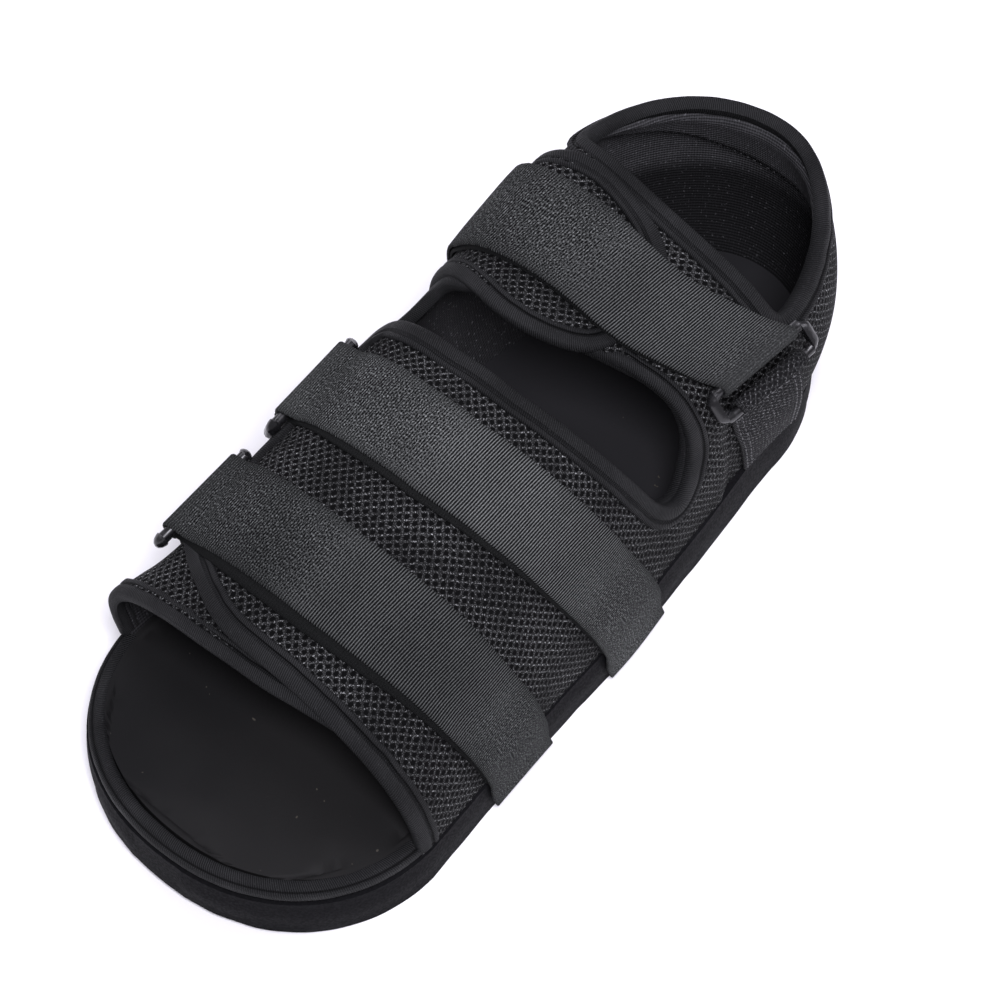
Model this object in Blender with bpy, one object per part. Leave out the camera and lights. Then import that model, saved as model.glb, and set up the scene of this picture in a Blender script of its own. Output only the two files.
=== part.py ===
"""A post operative shoe with an open toe, a soft upper and three strap closures.

Metres, Z up. The toe points along -Y and the heel along +Y. The sole stands on
z = 0 and the origin is under the middle of the sole. +X is the outer side.
"""
import math

import bmesh
import bpy
from mathutils import Vector

# Overall sizes
LENGTH = 0.292
BALL_WIDTH = 0.124
HEEL_WIDTH = 0.086
SOLE_HEIGHT = 0.018
HEEL_RAISE = 0.002
TOE_SPRING = 0.003
INSTEP_HEIGHT = 0.085
COLLAR_HEIGHT = 0.097
UPPER_WALL = 0.0024
FLAP_WALL = 0.0020
FOOTBED_THICKNESS = 0.0048
GAP = 0.0003
FLAP_GAP = 0.0006
STRAP_GAP = 0.0006
STRAP_WIDTH = 0.030
STRAP_THICKNESS = 0.0011
RING_BAR = 0.0036
RING_SLACK = 0.0022
TAB_SLANT = 0.22
RING_HANG = 15.0
RING_INNER_WIDTH = 0.0064
RIM_WIDTH = 0.0062
RIM_HEIGHT = 0.0052
TOE_POWER = 2.15
HEEL_POWER = 2.0

# Stations along the shoe, as shares of the length from the toe
TOE_SHARE = 0.1986
HEEL_SHARE = 0.832
FRONT_EDGE = 0.170
FLAP_FRONT = 0.186
FLAP_BACK = 0.700
ANKLE_FLAP_FRONT = 0.622
ANKLE_FLAP_BACK = 0.822

# Outline of the sole: share of length, share of the way from ball to heel width
OUTLINE = (
    (0.1986, 0.000),
    (0.3116, 0.162),
    (0.4247, 0.297),
    (0.5270, 0.378),
    (0.6230, 0.595),
    (0.6986, 0.730),
    (0.7840, 0.919),
    (0.8320, 1.000),
)

# Sections of the upper: share of length, crest height as a share of the instep,
# roundness outer and inner, outward bulge outer and inner (m), tilt (m), setback
# from the sole's edge outer and inner (m)
SECTIONS = (
    (0.164, 0.680, 2.1, 3.0, 0.0000, 0.0095, 0.002, 0.0038, 0.0032),
    (0.216, 0.750, 2.1, 3.2, 0.0000, 0.0042, 0.003, 0.0038, 0.0038),
    (0.284, 0.845, 2.1, 3.4, 0.0000, 0.0022, 0.004, 0.0038, 0.0038),
    (0.387, 0.947, 2.1, 3.5, 0.0000, 0.0030, 0.005, 0.0038, 0.0038),
    (0.490, 0.995, 2.1, 3.7, 0.0000, 0.0045, 0.006, 0.0038, 0.0038),
    (0.586, 1.000, 2.2, 4.0, 0.0000, 0.0065, 0.008, 0.0038, 0.0038),
    (0.647, 1.000, 2.5, 4.6, 0.0000, 0.0080, 0.010, 0.0038, 0.0038),
    (0.700, 1.020, 3.4, 5.4, 0.0000, 0.0094, 0.011, 0.0038, 0.0038),
    (0.760, 1.080, 4.2, 6.4, 0.0010, 0.0102, 0.013, 0.0024, 0.0038),
    (0.832, 1.110, 4.6, 8.0, 0.0060, 0.0102, 0.010, 0.0010, 0.0030),
)

# Back of the heel: share of the wall's height, outward bulge (m)
HEEL_PROFILE = (
    (0.00, 0.0000),
    (0.15, 0.0036),
    (0.35, 0.0068),
    (0.60, 0.0074),
    (0.80, 0.0056),
    (1.00, 0.0022),
)

# Window over the instep in plan: share of length, share of the half width there
WINDOW_FRONT = (
    (0.552, -1.60),
    (0.554, -1.00),
    (0.556, -0.40),
    (0.562, 0.10),
    (0.578, 0.45),
    (0.598, 0.70),
)
WINDOW_END = (
    (0.620, 0.835),
    (0.652, 0.885),
    (0.680, 0.830),
)
WINDOW_BACK = (
    (0.692, 0.640),
    (0.676, 0.350),
    (0.655, 0.000),
    (0.640, -0.40),
    (0.630, -0.80),
    (0.624, -1.60),
)
WINDOW_SILL_OUTER = 0.040
WINDOW_SILL_INNER = 0.074

# Straps: name, angle of the ring on the section (degrees), side of the ring,
# shares of length at the ring, the crest, the far shoulder and the far end, and
# how far the lower layer lies in front of the upper one at the shoulder
STRAPS = (
    ("front", 141.0, -1, 0.283, 0.283, 0.305, 0.340, 0.010),
    ("middle", 139.0, -1, 0.446, 0.450, 0.486, 0.542, 0.002),
    ("ankle", 48.0, 1, 0.780, 0.728, 0.714, 0.735, 0.002),
)

STEPS = 36
CORNER = 10
RADIAL_STEPS = 14
OUTLINE_STEPS = 64


def along(share):
    return LENGTH * (share - 0.5)


def share_at(y):
    return y / LENGTH + 0.5


def smooth(low, high, value):
    t = min(1.0, max(0.0, (value - low) / (high - low)))
    return t * t * (3.0 - 2.0 * t)


def mix(a, b, t):
    return a + (b - a) * t


def look_up(rows, column, share):
    """Value of a column at a share of the first column, on a smooth curve."""
    if share <= rows[0][0]:
        return rows[0][column]
    if share >= rows[-1][0]:
        return rows[-1][column]
    i = 0
    while rows[i + 1][0] < share:
        i += 1

    def slope(k):
        low = max(k - 1, 0)
        high = min(k + 1, len(rows) - 1)
        return (rows[high][column] - rows[low][column]) / (rows[high][0] - rows[low][0])

    span = rows[i + 1][0] - rows[i][0]
    t = (share - rows[i][0]) / span
    start = rows[i][column]
    end = rows[i + 1][column]
    first = slope(i) * span
    last = slope(i + 1) * span
    return (
        start * (2 * t**3 - 3 * t**2 + 1)
        + first * (t**3 - 2 * t**2 + t)
        + end * (3 * t**2 - 2 * t**3)
        + last * (t**3 - t**2)
    )


def rounded(amount, power):
    return max(0.0, 1.0 - abs(amount) ** power) ** (1.0 / power)


def half_width(share):
    """Half the sole's width at a share of its length."""
    inner = min(max(share, TOE_SHARE), HEEL_SHARE)
    half = 0.5 * mix(BALL_WIDTH, HEEL_WIDTH, look_up(OUTLINE, 1, inner))
    if share < TOE_SHARE:
        half *= rounded((TOE_SHARE - share) / TOE_SHARE, TOE_POWER)
    if share > HEEL_SHARE:
        half *= rounded((share - HEEL_SHARE) / (1.0 - HEEL_SHARE), HEEL_POWER)
    return half


def outline_points(setback, count):
    """The sole's plan outline pulled inwards by a setback, from the toe round."""
    points = []
    toe = along(0.0)
    heel = along(1.0)
    ball = along(TOE_SHARE)
    seat = along(HEEL_SHARE)
    quarter = count // 8
    side = count // 2 - 2 * quarter
    right = []
    for i in range(quarter):
        turn = math.radians(90.0 * i / quarter)
        reach = math.sin(turn) ** (2.0 / TOE_POWER)
        rise = math.cos(turn) ** (2.0 / TOE_POWER)
        right.append(((half_width(TOE_SHARE) - setback) * reach, ball - (ball - toe - setback) * rise))
    for i in range(side):
        y = mix(ball, seat, i / side)
        right.append((half_width(share_at(y)) - setback, y))
    for i in range(quarter + 1):
        turn = math.radians(90.0 * i / quarter)
        reach = math.cos(turn) ** (2.0 / HEEL_POWER)
        rise = math.sin(turn) ** (2.0 / HEEL_POWER)
        right.append(((half_width(HEEL_SHARE) - setback) * reach, seat + (heel - seat - setback) * rise))
    points.extend(right)
    for x, y in reversed(right[1:-1]):
        points.append((-x, y))
    return points


def toe_lift(y):
    reach = max(0.0, along(0.17) - y) / (along(0.17) - along(0.0))
    return TOE_SPRING * reach * reach


def sole_top(y):
    return SOLE_HEIGHT + HEEL_RAISE * smooth(0.35, 0.8, share_at(y)) + 0.6 * toe_lift(y)


def heel_bevel(y):
    reach = max(0.0, y - along(0.95)) / (along(1.0) - along(0.95))
    return 0.002 * reach * reach


def section(share, turn, offset=0.0):
    """Point (x, z) of the upper's section, 0 degrees outer foot to 180 inner."""

    def place(angle):
        c = math.cos(angle)
        s = math.sin(angle)
        outer = c >= 0.0
        power = look_up(SECTIONS, 2 if outer else 3, share)
        bulge = look_up(SECTIONS, 4 if outer else 5, share)
        setback = look_up(SECTIONS, 7 if outer else 8, share)
        half = half_width(min(share, HEEL_SHARE)) - setback
        low = sole_top(along(share)) + GAP
        rise = INSTEP_HEIGHT * look_up(SECTIONS, 1, share) - low
        reach = abs(c) ** (2.0 / power)
        lift = abs(s) ** (2.0 / power)
        x = (half + bulge * math.sin(0.72 * math.pi * lift)) * reach * (1 if outer else -1)
        tilt = look_up(SECTIONS, 6, share)
        return x, low + rise * lift - tilt * (x / half) * lift

    angle = math.radians(min(180.0, max(0.0, turn)))
    x, z = place(angle)
    if offset == 0.0:
        return x, z
    before = place(max(0.0, angle - 0.004))
    after = place(min(math.pi, angle + 0.004))
    dx = after[0] - before[0]
    dz = after[1] - before[1]
    size = math.hypot(dx, dz)
    low = sole_top(along(share)) + GAP
    return x + offset * dz / size, max(low, z - offset * dx / size)


def place_on_section(share, turn, offset):
    x, z = section(share, turn, offset)
    return Vector((x, along(share), z))


def turn_at(step):
    return 180.0 * step / STEPS


def heel_point(turn, step, offset):
    """Point of the heel wall; turn 0 is the outer side, 90 the back, 180 the inner."""
    angle = math.radians(turn)
    c = math.cos(angle)
    s = math.sin(angle)
    outer = c >= 0.0
    side_turn = turn_at(step) if outer else 180.0 - turn_at(step)
    side_x, side_z = section(HEEL_SHARE, side_turn, offset)
    side_reach = abs(side_x)
    seat = along(HEEL_SHARE)
    part = step / CORNER
    low = sole_top(along(1.0)) + GAP
    back_z = mix(low, COLLAR_HEIGHT, part)
    setback = look_up(SECTIONS, 7, HEEL_SHARE)
    back_reach = LENGTH * (1.0 - HEEL_SHARE) - setback + look_up(HEEL_PROFILE, 1, part) + offset
    weight = s * s
    half = half_width(HEEL_SHARE)
    side_part = side_reach / half
    back_part = back_reach / (LENGTH * (1.0 - HEEL_SHARE))
    part_here = mix(side_part, back_part, weight)
    x = half * part_here * abs(c) ** (2.0 / HEEL_POWER) * (1 if outer else -1)
    y = seat + LENGTH * (1.0 - HEEL_SHARE) * part_here * s ** (2.0 / HEEL_POWER)
    z = mix(side_z, back_z, weight)
    return Vector((x, y, z))


def new_object(name, bm, collection):
    bmesh.ops.recalc_face_normals(bm, faces=bm.faces)
    mesh = bpy.data.meshes.new(name)
    bm.to_mesh(mesh)
    bm.free()
    obj = bpy.data.objects.new(name, mesh)
    collection.objects.link(obj)
    return obj


def sheet(name, outer, inner, collection):
    """A closed sheet between two grids of points with the same rows and columns."""
    bm = bmesh.new()
    rows = len(outer)
    columns = len(outer[0])
    top = [[bm.verts.new(p) for p in row] for row in outer]
    low = [[bm.verts.new(p) for p in row] for row in inner]
    for i in range(rows - 1):
        for j in range(columns - 1):
            bm.faces.new((top[i][j], top[i + 1][j], top[i + 1][j + 1], top[i][j + 1]))
            bm.faces.new((low[i][j], low[i][j + 1], low[i + 1][j + 1], low[i + 1][j]))
    for i in range(rows - 1):
        bm.faces.new((top[i][0], low[i][0], low[i + 1][0], top[i + 1][0]))
        bm.faces.new((top[i][-1], top[i + 1][-1], low[i + 1][-1], low[i][-1]))
    for j in range(columns - 1):
        bm.faces.new((top[0][j], top[0][j + 1], low[0][j + 1], low[0][j]))
        bm.faces.new((top[-1][j], low[-1][j], low[-1][j + 1], top[-1][j + 1]))
    return new_object(name, bm, collection)


def stacked_solid(name, rings, collection):
    """A closed solid through a stack of closed rings of points, capped flat."""
    bm = bmesh.new()
    loops = [[bm.verts.new(p) for p in ring] for ring in rings]
    count = len(loops[0])
    for low, high in zip(loops, loops[1:]):
        for i in range(count):
            j = (i + 1) % count
            bm.faces.new((low[i], low[j], high[j], high[i]))
    for loop in (loops[0], loops[-1]):
        half = count // 2
        for i in range(half):
            a = loop[i]
            b = loop[i + 1]
            c = loop[(count - i - 1) % count]
            d = loop[(count - i) % count]
            corners = [a, b]
            if c not in corners:
                corners.append(c)
            if d not in corners:
                corners.append(d)
            if len(corners) > 2:
                bm.faces.new(corners)
    return new_object(name, bm, collection)


def build_sole(collection):
    levels = (
        (0.0016, 0.00),
        (0.0004, 0.08),
        (0.0000, 0.20),
        (0.0000, 0.85),
        (0.0004, 0.95),
        (0.0012, 1.00),
    )
    rings = []
    for setback, rise in levels:
        ring = []
        for x, y in outline_points(setback, OUTLINE_STEPS):
            low = toe_lift(y) + heel_bevel(y)
            ring.append(Vector((x, y, mix(low, sole_top(y), rise))))
        rings.append(ring)
    return stacked_solid("sole", rings, collection)


def footbed_setback(y):
    inside = 0.0038 + UPPER_WALL + GAP + 0.0004
    return mix(RIM_WIDTH + 0.0016, inside, smooth(FRONT_EDGE - 0.03, FRONT_EDGE + 0.02, share_at(y)))


def build_footbed(collection):
    levels = ((0.0, 0.0), (0.0, 0.8), (0.0005, 0.95), (0.0014, 1.0))
    rings = []
    for extra, rise in levels:
        ring = []
        for x, y in outline_points(0.0, OUTLINE_STEPS):
            share = share_at(y)
            setback = footbed_setback(y) + extra
            seat = along(HEEL_SHARE)
            ball = along(TOE_SHARE)
            px = x
            py = y
            if y > seat:
                scale_x = (half_width(HEEL_SHARE) - setback) / half_width(HEEL_SHARE)
                scale_y = (along(1.0) - seat - setback) / (along(1.0) - seat)
                px = x * scale_x
                py = seat + (y - seat) * scale_y
            elif y < ball:
                scale_x = (half_width(TOE_SHARE) - setback) / half_width(TOE_SHARE)
                scale_y = (ball - along(0.0) - setback) / (ball - along(0.0))
                px = x * scale_x
                py = ball + (y - ball) * scale_y
            else:
                px = math.copysign(abs(x) - setback, x)
            z = sole_top(py) + GAP + FOOTBED_THICKNESS * rise
            ring.append(Vector((px, py, z)))
        rings.append(ring)
    return stacked_solid("footbed", rings, collection)


def build_toe_rim(collection):
    """A rolled binding swept round the toe on the sole's top edge."""
    reach = half_width(TOE_SHARE)
    ball = along(TOE_SHARE)
    deep = ball - along(0.0)
    stop = math.degrees(math.acos(((TOE_SHARE - FRONT_EDGE + 0.007) / TOE_SHARE) ** (TOE_POWER / 2.0)))
    profile = []
    for i in range(8):
        angle = math.radians(45.0 * i)
        across = math.copysign(abs(math.cos(angle)) ** 0.75, math.cos(angle))
        rise = math.copysign(abs(math.sin(angle)) ** 0.75, math.sin(angle))
        profile.append((0.5 * RIM_WIDTH * across, 0.5 * RIM_HEIGHT * rise))
    bm = bmesh.new()
    loops = []
    count = 28
    for i in range(count + 1):
        turn = math.radians(mix(-stop, stop, i / count))
        s = math.copysign(abs(math.sin(turn)) ** (2.0 / TOE_POWER), turn)
        c = math.cos(turn) ** (2.0 / TOE_POWER)
        loop = []
        for across, rise in profile:
            pull = 0.0008 + 0.5 * RIM_WIDTH - across
            x = (reach - pull) * s
            y = ball - (deep - pull) * c
            z = sole_top(y) + GAP + 0.5 * RIM_HEIGHT + rise
            loop.append(bm.verts.new((x, y, z)))
        loops.append(loop)
    sides = len(profile)
    for a, b in zip(loops, loops[1:]):
        for i in range(sides):
            j = (i + 1) % sides
            bm.faces.new((a[i], a[j], b[j], b[i]))
    bm.faces.new(loops[0])
    bm.faces.new(list(reversed(loops[-1])))
    return new_object("toe_rim", bm, collection)


def shares_between(start, end, count):
    return [mix(start, end, i / count) for i in range(count + 1)]


def upper_grid(offset):
    arches = []
    for share in shares_between(FRONT_EDGE, HEEL_SHARE, 18):
        pull = 0.012 * (1.0 - smooth(FRONT_EDGE, FRONT_EDGE + 0.1, share))
        row = []
        for k in range(STEPS + 1):
            place = share + pull * math.sin(math.radians(turn_at(k)))
            row.append(place_on_section(place, turn_at(k), offset))
        arches.append(row)
    heel = []
    for i in range(1, RADIAL_STEPS):
        turn = 180.0 * i / RADIAL_STEPS
        heel.append([heel_point(turn, k, offset) for k in range(CORNER + 1)])
    return arches, heel


def build_upper(collection, cutters):
    """One hollow shell: roof, side walls and heel, open in front, under and on top."""
    bm = bmesh.new()

    def add(offset):
        arches, heel = upper_grid(offset)
        arch_verts = [[bm.verts.new(p) for p in row] for row in arches]
        heel_verts = [[bm.verts.new(p) for p in row] for row in heel]
        first = [arch_verts[-1][k] for k in range(CORNER + 1)]
        last = [arch_verts[-1][STEPS - k] for k in range(CORNER + 1)]
        return arch_verts, [first] + heel_verts + [last]

    outer_arch, outer_heel = add(0.0)
    inner_arch, inner_heel = add(-UPPER_WALL)

    def skin(rows):
        for a, b in zip(rows, rows[1:]):
            for k in range(len(a) - 1):
                bm.faces.new((a[k], b[k], b[k + 1], a[k + 1]))

    skin(outer_arch)
    skin(outer_heel)
    skin(inner_arch)
    skin(inner_heel)

    def rim(outer, inner):
        for i in range(len(outer) - 1):
            bm.faces.new((outer[i], outer[i + 1], inner[i + 1], inner[i]))

    rim(outer_arch[0], inner_arch[0])
    rim([row[0] for row in outer_arch], [row[0] for row in inner_arch])
    rim([row[-1] for row in outer_arch], [row[-1] for row in inner_arch])
    rim([row[0] for row in outer_heel], [row[0] for row in inner_heel])
    rim([row[-1] for row in outer_heel], [row[-1] for row in inner_heel])
    rim(outer_arch[-1][CORNER:STEPS - CORNER + 1], inner_arch[-1][CORNER:STEPS - CORNER + 1])
    upper = new_object("upper", bm, collection)
    cut_window(upper, cutters, 0.0)
    return upper


def window_cutter(name, grow, collection):
    """A block with the window's plan outline and a sloping floor."""
    plan = []
    for share, part in WINDOW_FRONT:
        plan.append((part * half_width(share), along(share) - grow))
    for share, part in WINDOW_END:
        plan.append((part * half_width(share) + grow, along(share)))
    for share, part in WINDOW_BACK:
        plan.append((part * half_width(share), along(share) + grow))
    low = []
    high = []
    reach = half_width(0.65)
    for x, y in plan:
        t = min(1.0, max(0.0, (x + reach) / (2.0 * reach)))
        low.append(Vector((x, y, mix(WINDOW_SILL_INNER, WINDOW_SILL_OUTER, t))))
        high.append(Vector((x, y, 0.14)))
    bm = bmesh.new()
    a = [bm.verts.new(p) for p in low]
    b = [bm.verts.new(p) for p in high]
    count = len(a)
    for i in range(count):
        j = (i + 1) % count
        bm.faces.new((a[i], a[j], b[j], b[i]))
    bmesh.ops.triangulate(bm, faces=[bm.faces.new(a), bm.faces.new(list(reversed(b)))])
    cutter = new_object(name, bm, collection)
    cutter.hide_render = True
    cutter.display_type = "WIRE"
    return cutter


def cut_window(obj, cutters, grow):
    cut = obj.modifiers.new("window", "BOOLEAN")
    cut.operation = "DIFFERENCE"
    cut.solver = "EXACT"
    cut.object = window_cutter(obj.name + "_window", grow, cutters)


def build_vamp_flap(collection, cutters):
    shares = shares_between(FLAP_FRONT, FLAP_BACK, 15)
    outer = []
    inner = []
    last = 29
    for share in shares:
        row_out = []
        row_in = []
        for k in range(last + 1):
            pull = smooth(5.0, 26.0, k) * 0.021 * (1.0 - smooth(FLAP_FRONT, FLAP_FRONT + 0.16, share))
            corner = smooth(23.0, 30.0, k) * 0.050 * (1.0 - smooth(FLAP_FRONT, FLAP_FRONT + 0.12, share))
            place = share + pull + corner
            row_out.append(place_on_section(place, turn_at(k), FLAP_GAP + FLAP_WALL))
            row_in.append(place_on_section(place, turn_at(k), FLAP_GAP))
        outer.append(row_out)
        inner.append(row_in)
    flap = sheet("vamp_flap", outer, inner, collection)
    cut_window(flap, cutters, 0.0)
    cut_back(flap, cutters)
    return flap


def cut_back(flap, cutters):
    """Clears the flap's roof behind the window, which only its side wall passes."""
    bm = bmesh.new()
    bmesh.ops.create_cube(bm, size=1.0)
    front = along(0.615)
    back = along(0.720)
    for vert in bm.verts:
        x = 0.033 if vert.co.x > 0 else -0.080
        y = back if vert.co.y > 0 else front
        z = 0.140 if vert.co.z > 0 else 0.040
        vert.co = (x, y, z)
    cutter = new_object("vamp_flap_back", bm, cutters)
    cutter.hide_render = True
    cutter.display_type = "WIRE"
    cut = flap.modifiers.new("back", "BOOLEAN")
    cut.operation = "DIFFERENCE"
    cut.solver = "EXACT"
    cut.object = cutter


def build_ankle_flap(collection):
    shares = shares_between(ANKLE_FLAP_FRONT, ANKLE_FLAP_BACK, 8)
    outer = []
    inner = []
    first = 13
    for share in shares:
        row_out = []
        row_in = []
        front = 1.0 - smooth(ANKLE_FLAP_FRONT, ANKLE_FLAP_FRONT + 0.10, share)
        back = smooth(ANKLE_FLAP_BACK - 0.10, ANKLE_FLAP_BACK, share)
        for k in range(first, STEPS + 1):
            place = share + 0.045 * front * (1.0 - smooth(first, 24.0, k))
            place += 0.014 * front * smooth(24.0, 30.0, k)
            place -= 0.020 * back * smooth(20.0, 28.0, k)
            row_out.append(place_on_section(place, turn_at(k), FLAP_GAP + FLAP_WALL))
            row_in.append(place_on_section(place, turn_at(k), FLAP_GAP))
        outer.append(row_out)
        inner.append(row_in)
    return sheet("ankle_flap", outer, inner, collection)


def strap_route(row, slip):
    """Turn and share of length along the strap's middle, in order of turn."""
    name, ring_turn, side, at_ring, at_crest, at_shoulder, at_end = row[:7]
    slipped = at_shoulder - slip
    if side < 0:
        return ((0.0, at_end), (45.0, slipped), (90.0, at_crest), (ring_turn, at_ring))
    return ((ring_turn, at_ring), (90.0, at_crest), (135.0, slipped), (180.0, at_end))


def strap_paths(row):
    """Centre lines of a looped strap, one for each station across its width."""
    name, ring_turn, side, at_ring = row[:4]
    under = FLAP_GAP + FLAP_WALL + STRAP_GAP + 0.5 * STRAP_THICKNESS
    over = under + STRAP_THICKNESS + GAP
    wrap = 0.5 * RING_BAR + GAP + 0.5 * STRAP_THICKNESS
    stations = 3
    bar = ring_centre(at_ring, ring_turn)
    normal, tangent, long_way = ring_frame(at_ring, ring_turn, side)
    upper_route = strap_route(row, 0.0)
    lower_route = strap_route(row, row[7])
    turns = [turn_at(k) for k in range(STEPS + 1)]
    if side < 0:
        turns = [t for t in turns if t < ring_turn - 9.0]
    else:
        turns = [t for t in reversed(turns) if t > ring_turn + 9.0]
    paths = []
    for j in range(stations + 1):
        across = (j / stations - 0.5) * STRAP_WIDTH * long_way.y
        shares = [look_up(upper_route, 1, t) + across / LENGTH for t in turns]
        lower_shares = [look_up(lower_route, 1, t) + across / LENGTH for t in turns]
        wrapped = bar + long_way * (across / long_way.y)
        far = shares[0]
        x_edge = (half_width(far) + GAP + 0.5 * STRAP_THICKNESS + 0.0002) * -side
        low = sole_top(along(far))
        path = []
        path.append(Vector((x_edge, along(far + 0.014), 0.0035)))
        path.append(Vector((x_edge, along(far + 0.004), low - 0.004)))
        for share, t in zip(shares, turns):
            path.append(place_on_section(share, t, over))
        for i in range(8):
            angle = math.radians(-20.0 + 220.0 * i / 7.0)
            spread = wrap * (math.cos(angle) * normal + math.sin(angle) * tangent)
            path.append(wrapped + spread)
        for share, t in reversed(list(zip(lower_shares, turns))[1:]):
            path.append(place_on_section(share, t, under))
        paths.append(path)
    return paths


def ring_frame(share, turn, side):
    """Outward normal, downhill direction and lengthwise direction at a ring."""
    here = place_on_section(share, turn, 0.0)
    normal = (place_on_section(share, turn, 0.01) - here).normalized()
    tangent = Vector((-normal.z, 0.0, normal.x))
    if tangent.z > 0.0:
        tangent = -tangent
    ahead = place_on_section(share + 0.05, turn, 0.0)
    behind = place_on_section(share - 0.05, turn, 0.0)
    return normal, tangent, (ahead - behind).normalized()


def hang(normal, tangent, side):
    """The ways of a ring and its tab, which hang steeper than the wall on the inner side."""
    if side > 0:
        return normal, tangent
    angle = math.radians(RING_HANG)
    down = tangent * math.cos(angle) - normal * math.sin(angle)
    out = normal * math.cos(angle) + tangent * math.sin(angle)
    return out, down


def ring_centre(share, turn):
    wrap = 0.5 * RING_BAR + GAP + 0.5 * STRAP_THICKNESS
    stand = FLAP_GAP + FLAP_WALL + STRAP_GAP + 0.5 * STRAP_THICKNESS + wrap
    return place_on_section(share, turn, stand)


def band(name, paths, thickness, collection):
    """A strip of even thickness along centre lines in upright planes."""
    outer = []
    inner = []
    for path in paths:
        out_row = []
        in_row = []
        for i, point in enumerate(path):
            before = path[max(0, i - 1)]
            after = path[min(len(path) - 1, i + 1)]
            dx = after.x - before.x
            dz = after.z - before.z
            size = math.hypot(dx, dz)
            shift = Vector((dz, 0.0, -dx)) * (0.5 * thickness / size)
            out_row.append(point + shift)
            in_row.append(point - shift)
        outer.append(out_row)
        inner.append(in_row)
    return sheet(name, outer, inner, collection)


def build_strap(row, collection):
    return band("strap_" + row[0], strap_paths(row), STRAP_THICKNESS, collection)


def build_ring(row, collection):
    """A closed loop of round bar, its upper bar inside the strap's fold."""
    name, ring_turn, side, at_ring = row[:4]
    centre = ring_centre(at_ring, ring_turn)
    wall_normal, wall_tangent, long_way = ring_frame(at_ring, ring_turn, side)
    normal, tangent = hang(wall_normal, wall_tangent, side)
    short_way = (tangent - long_way * tangent.dot(long_way)).normalized()
    width = RING_INNER_WIDTH + RING_BAR
    length = STRAP_WIDTH + RING_SLACK + RING_BAR
    corner = 0.0020
    corners = (
        (0.5 * length - corner, width - corner, 0.0),
        (-0.5 * length + corner, width - corner, 90.0),
        (-0.5 * length + corner, corner, 180.0),
        (0.5 * length - corner, corner, 270.0),
    )
    line = []
    for u, v, start in corners:
        for i in range(5):
            angle = math.radians(start + 22.5 * i)
            line.append((u + corner * math.cos(angle), v + corner * math.sin(angle)))
    curve = bpy.data.curves.new("ring_" + name, "CURVE")
    curve.dimensions = "3D"
    curve.bevel_depth = 0.5 * RING_BAR
    curve.bevel_resolution = 1
    spline = curve.splines.new("POLY")
    spline.points.add(len(line) - 1)
    spline.use_cyclic_u = True
    for point, (u, v) in zip(spline.points, line):
        place = centre + long_way * u + short_way * v
        point.co = (place.x, place.y, place.z, 1.0)
    carrier = bpy.data.objects.new("ring_curve", curve)
    collection.objects.link(carrier)
    bpy.context.view_layer.update()
    shape = carrier.evaluated_get(bpy.context.evaluated_depsgraph_get())
    mesh = bpy.data.meshes.new_from_object(shape)
    bpy.data.objects.remove(carrier)
    bm = bmesh.new()
    bm.from_mesh(mesh)
    bmesh.ops.remove_doubles(bm, verts=bm.verts, dist=0.00001)
    return new_object("ring_" + name, bm, collection)


def build_tab(row, collection):
    """A sewn tab from the sole's edge up the wall, folded round the ring's low bar."""
    name, ring_turn, side, at_ring = row[:4]
    centre = ring_centre(at_ring, ring_turn)
    wall_normal, wall_tangent, long_way = ring_frame(at_ring, ring_turn, side)
    normal, tangent = hang(wall_normal, wall_tangent, side)
    short_way = (tangent - long_way * tangent.dot(long_way)).normalized()
    low_bar = centre + short_way * (RING_INNER_WIDTH + RING_BAR)
    wrap = 0.5 * RING_BAR + GAP + 0.5 * STRAP_THICKNESS
    base = STRAP_GAP + 0.5 * STRAP_THICKNESS
    stations = 3
    middle = share_at(low_bar.y)
    limit = low_bar.z - 0.0035 - 0.5 * STRAP_WIDTH * abs(long_way.z / long_way.y)
    turns = [turn_at(k) if side > 0 else 180.0 - turn_at(k) for k in range(STEPS // 2)]
    turns = [t for t in turns if section(middle, t)[1] < limit]
    paths = []
    for j in range(stations + 1):
        across = (j / stations - 0.5) * (STRAP_WIDTH - 0.003)
        wrapped = low_bar + long_way * (across / long_way.y)
        path = []
        for t in turns:
            drop = wrapped.z - section(middle, t)[1]
            path.append(place_on_section(share_at(wrapped.y + TAB_SLANT * drop), t, base))
        for i in range(7):
            angle = math.radians(180.0 + 200.0 * i / 6.0)
            spread = wrap * (math.cos(angle) * normal + math.sin(angle) * short_way)
            path.append(wrapped + spread)
        paths.append(path)
    return band("tab_" + name, paths, STRAP_THICKNESS, collection)


def paint(obj, name, color, roughness, metallic=0.0):
    material = bpy.data.materials.get(name)
    if material is None:
        material = bpy.data.materials.new(name)
        material.use_nodes = True
        shader = material.node_tree.nodes["Principled BSDF"]
        shader.inputs["Base Color"].default_value = (*color, 1.0)
        shader.inputs["Roughness"].default_value = roughness
        shader.inputs["Metallic"].default_value = metallic
    obj.data.materials.clear()
    obj.data.materials.append(material)


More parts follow.
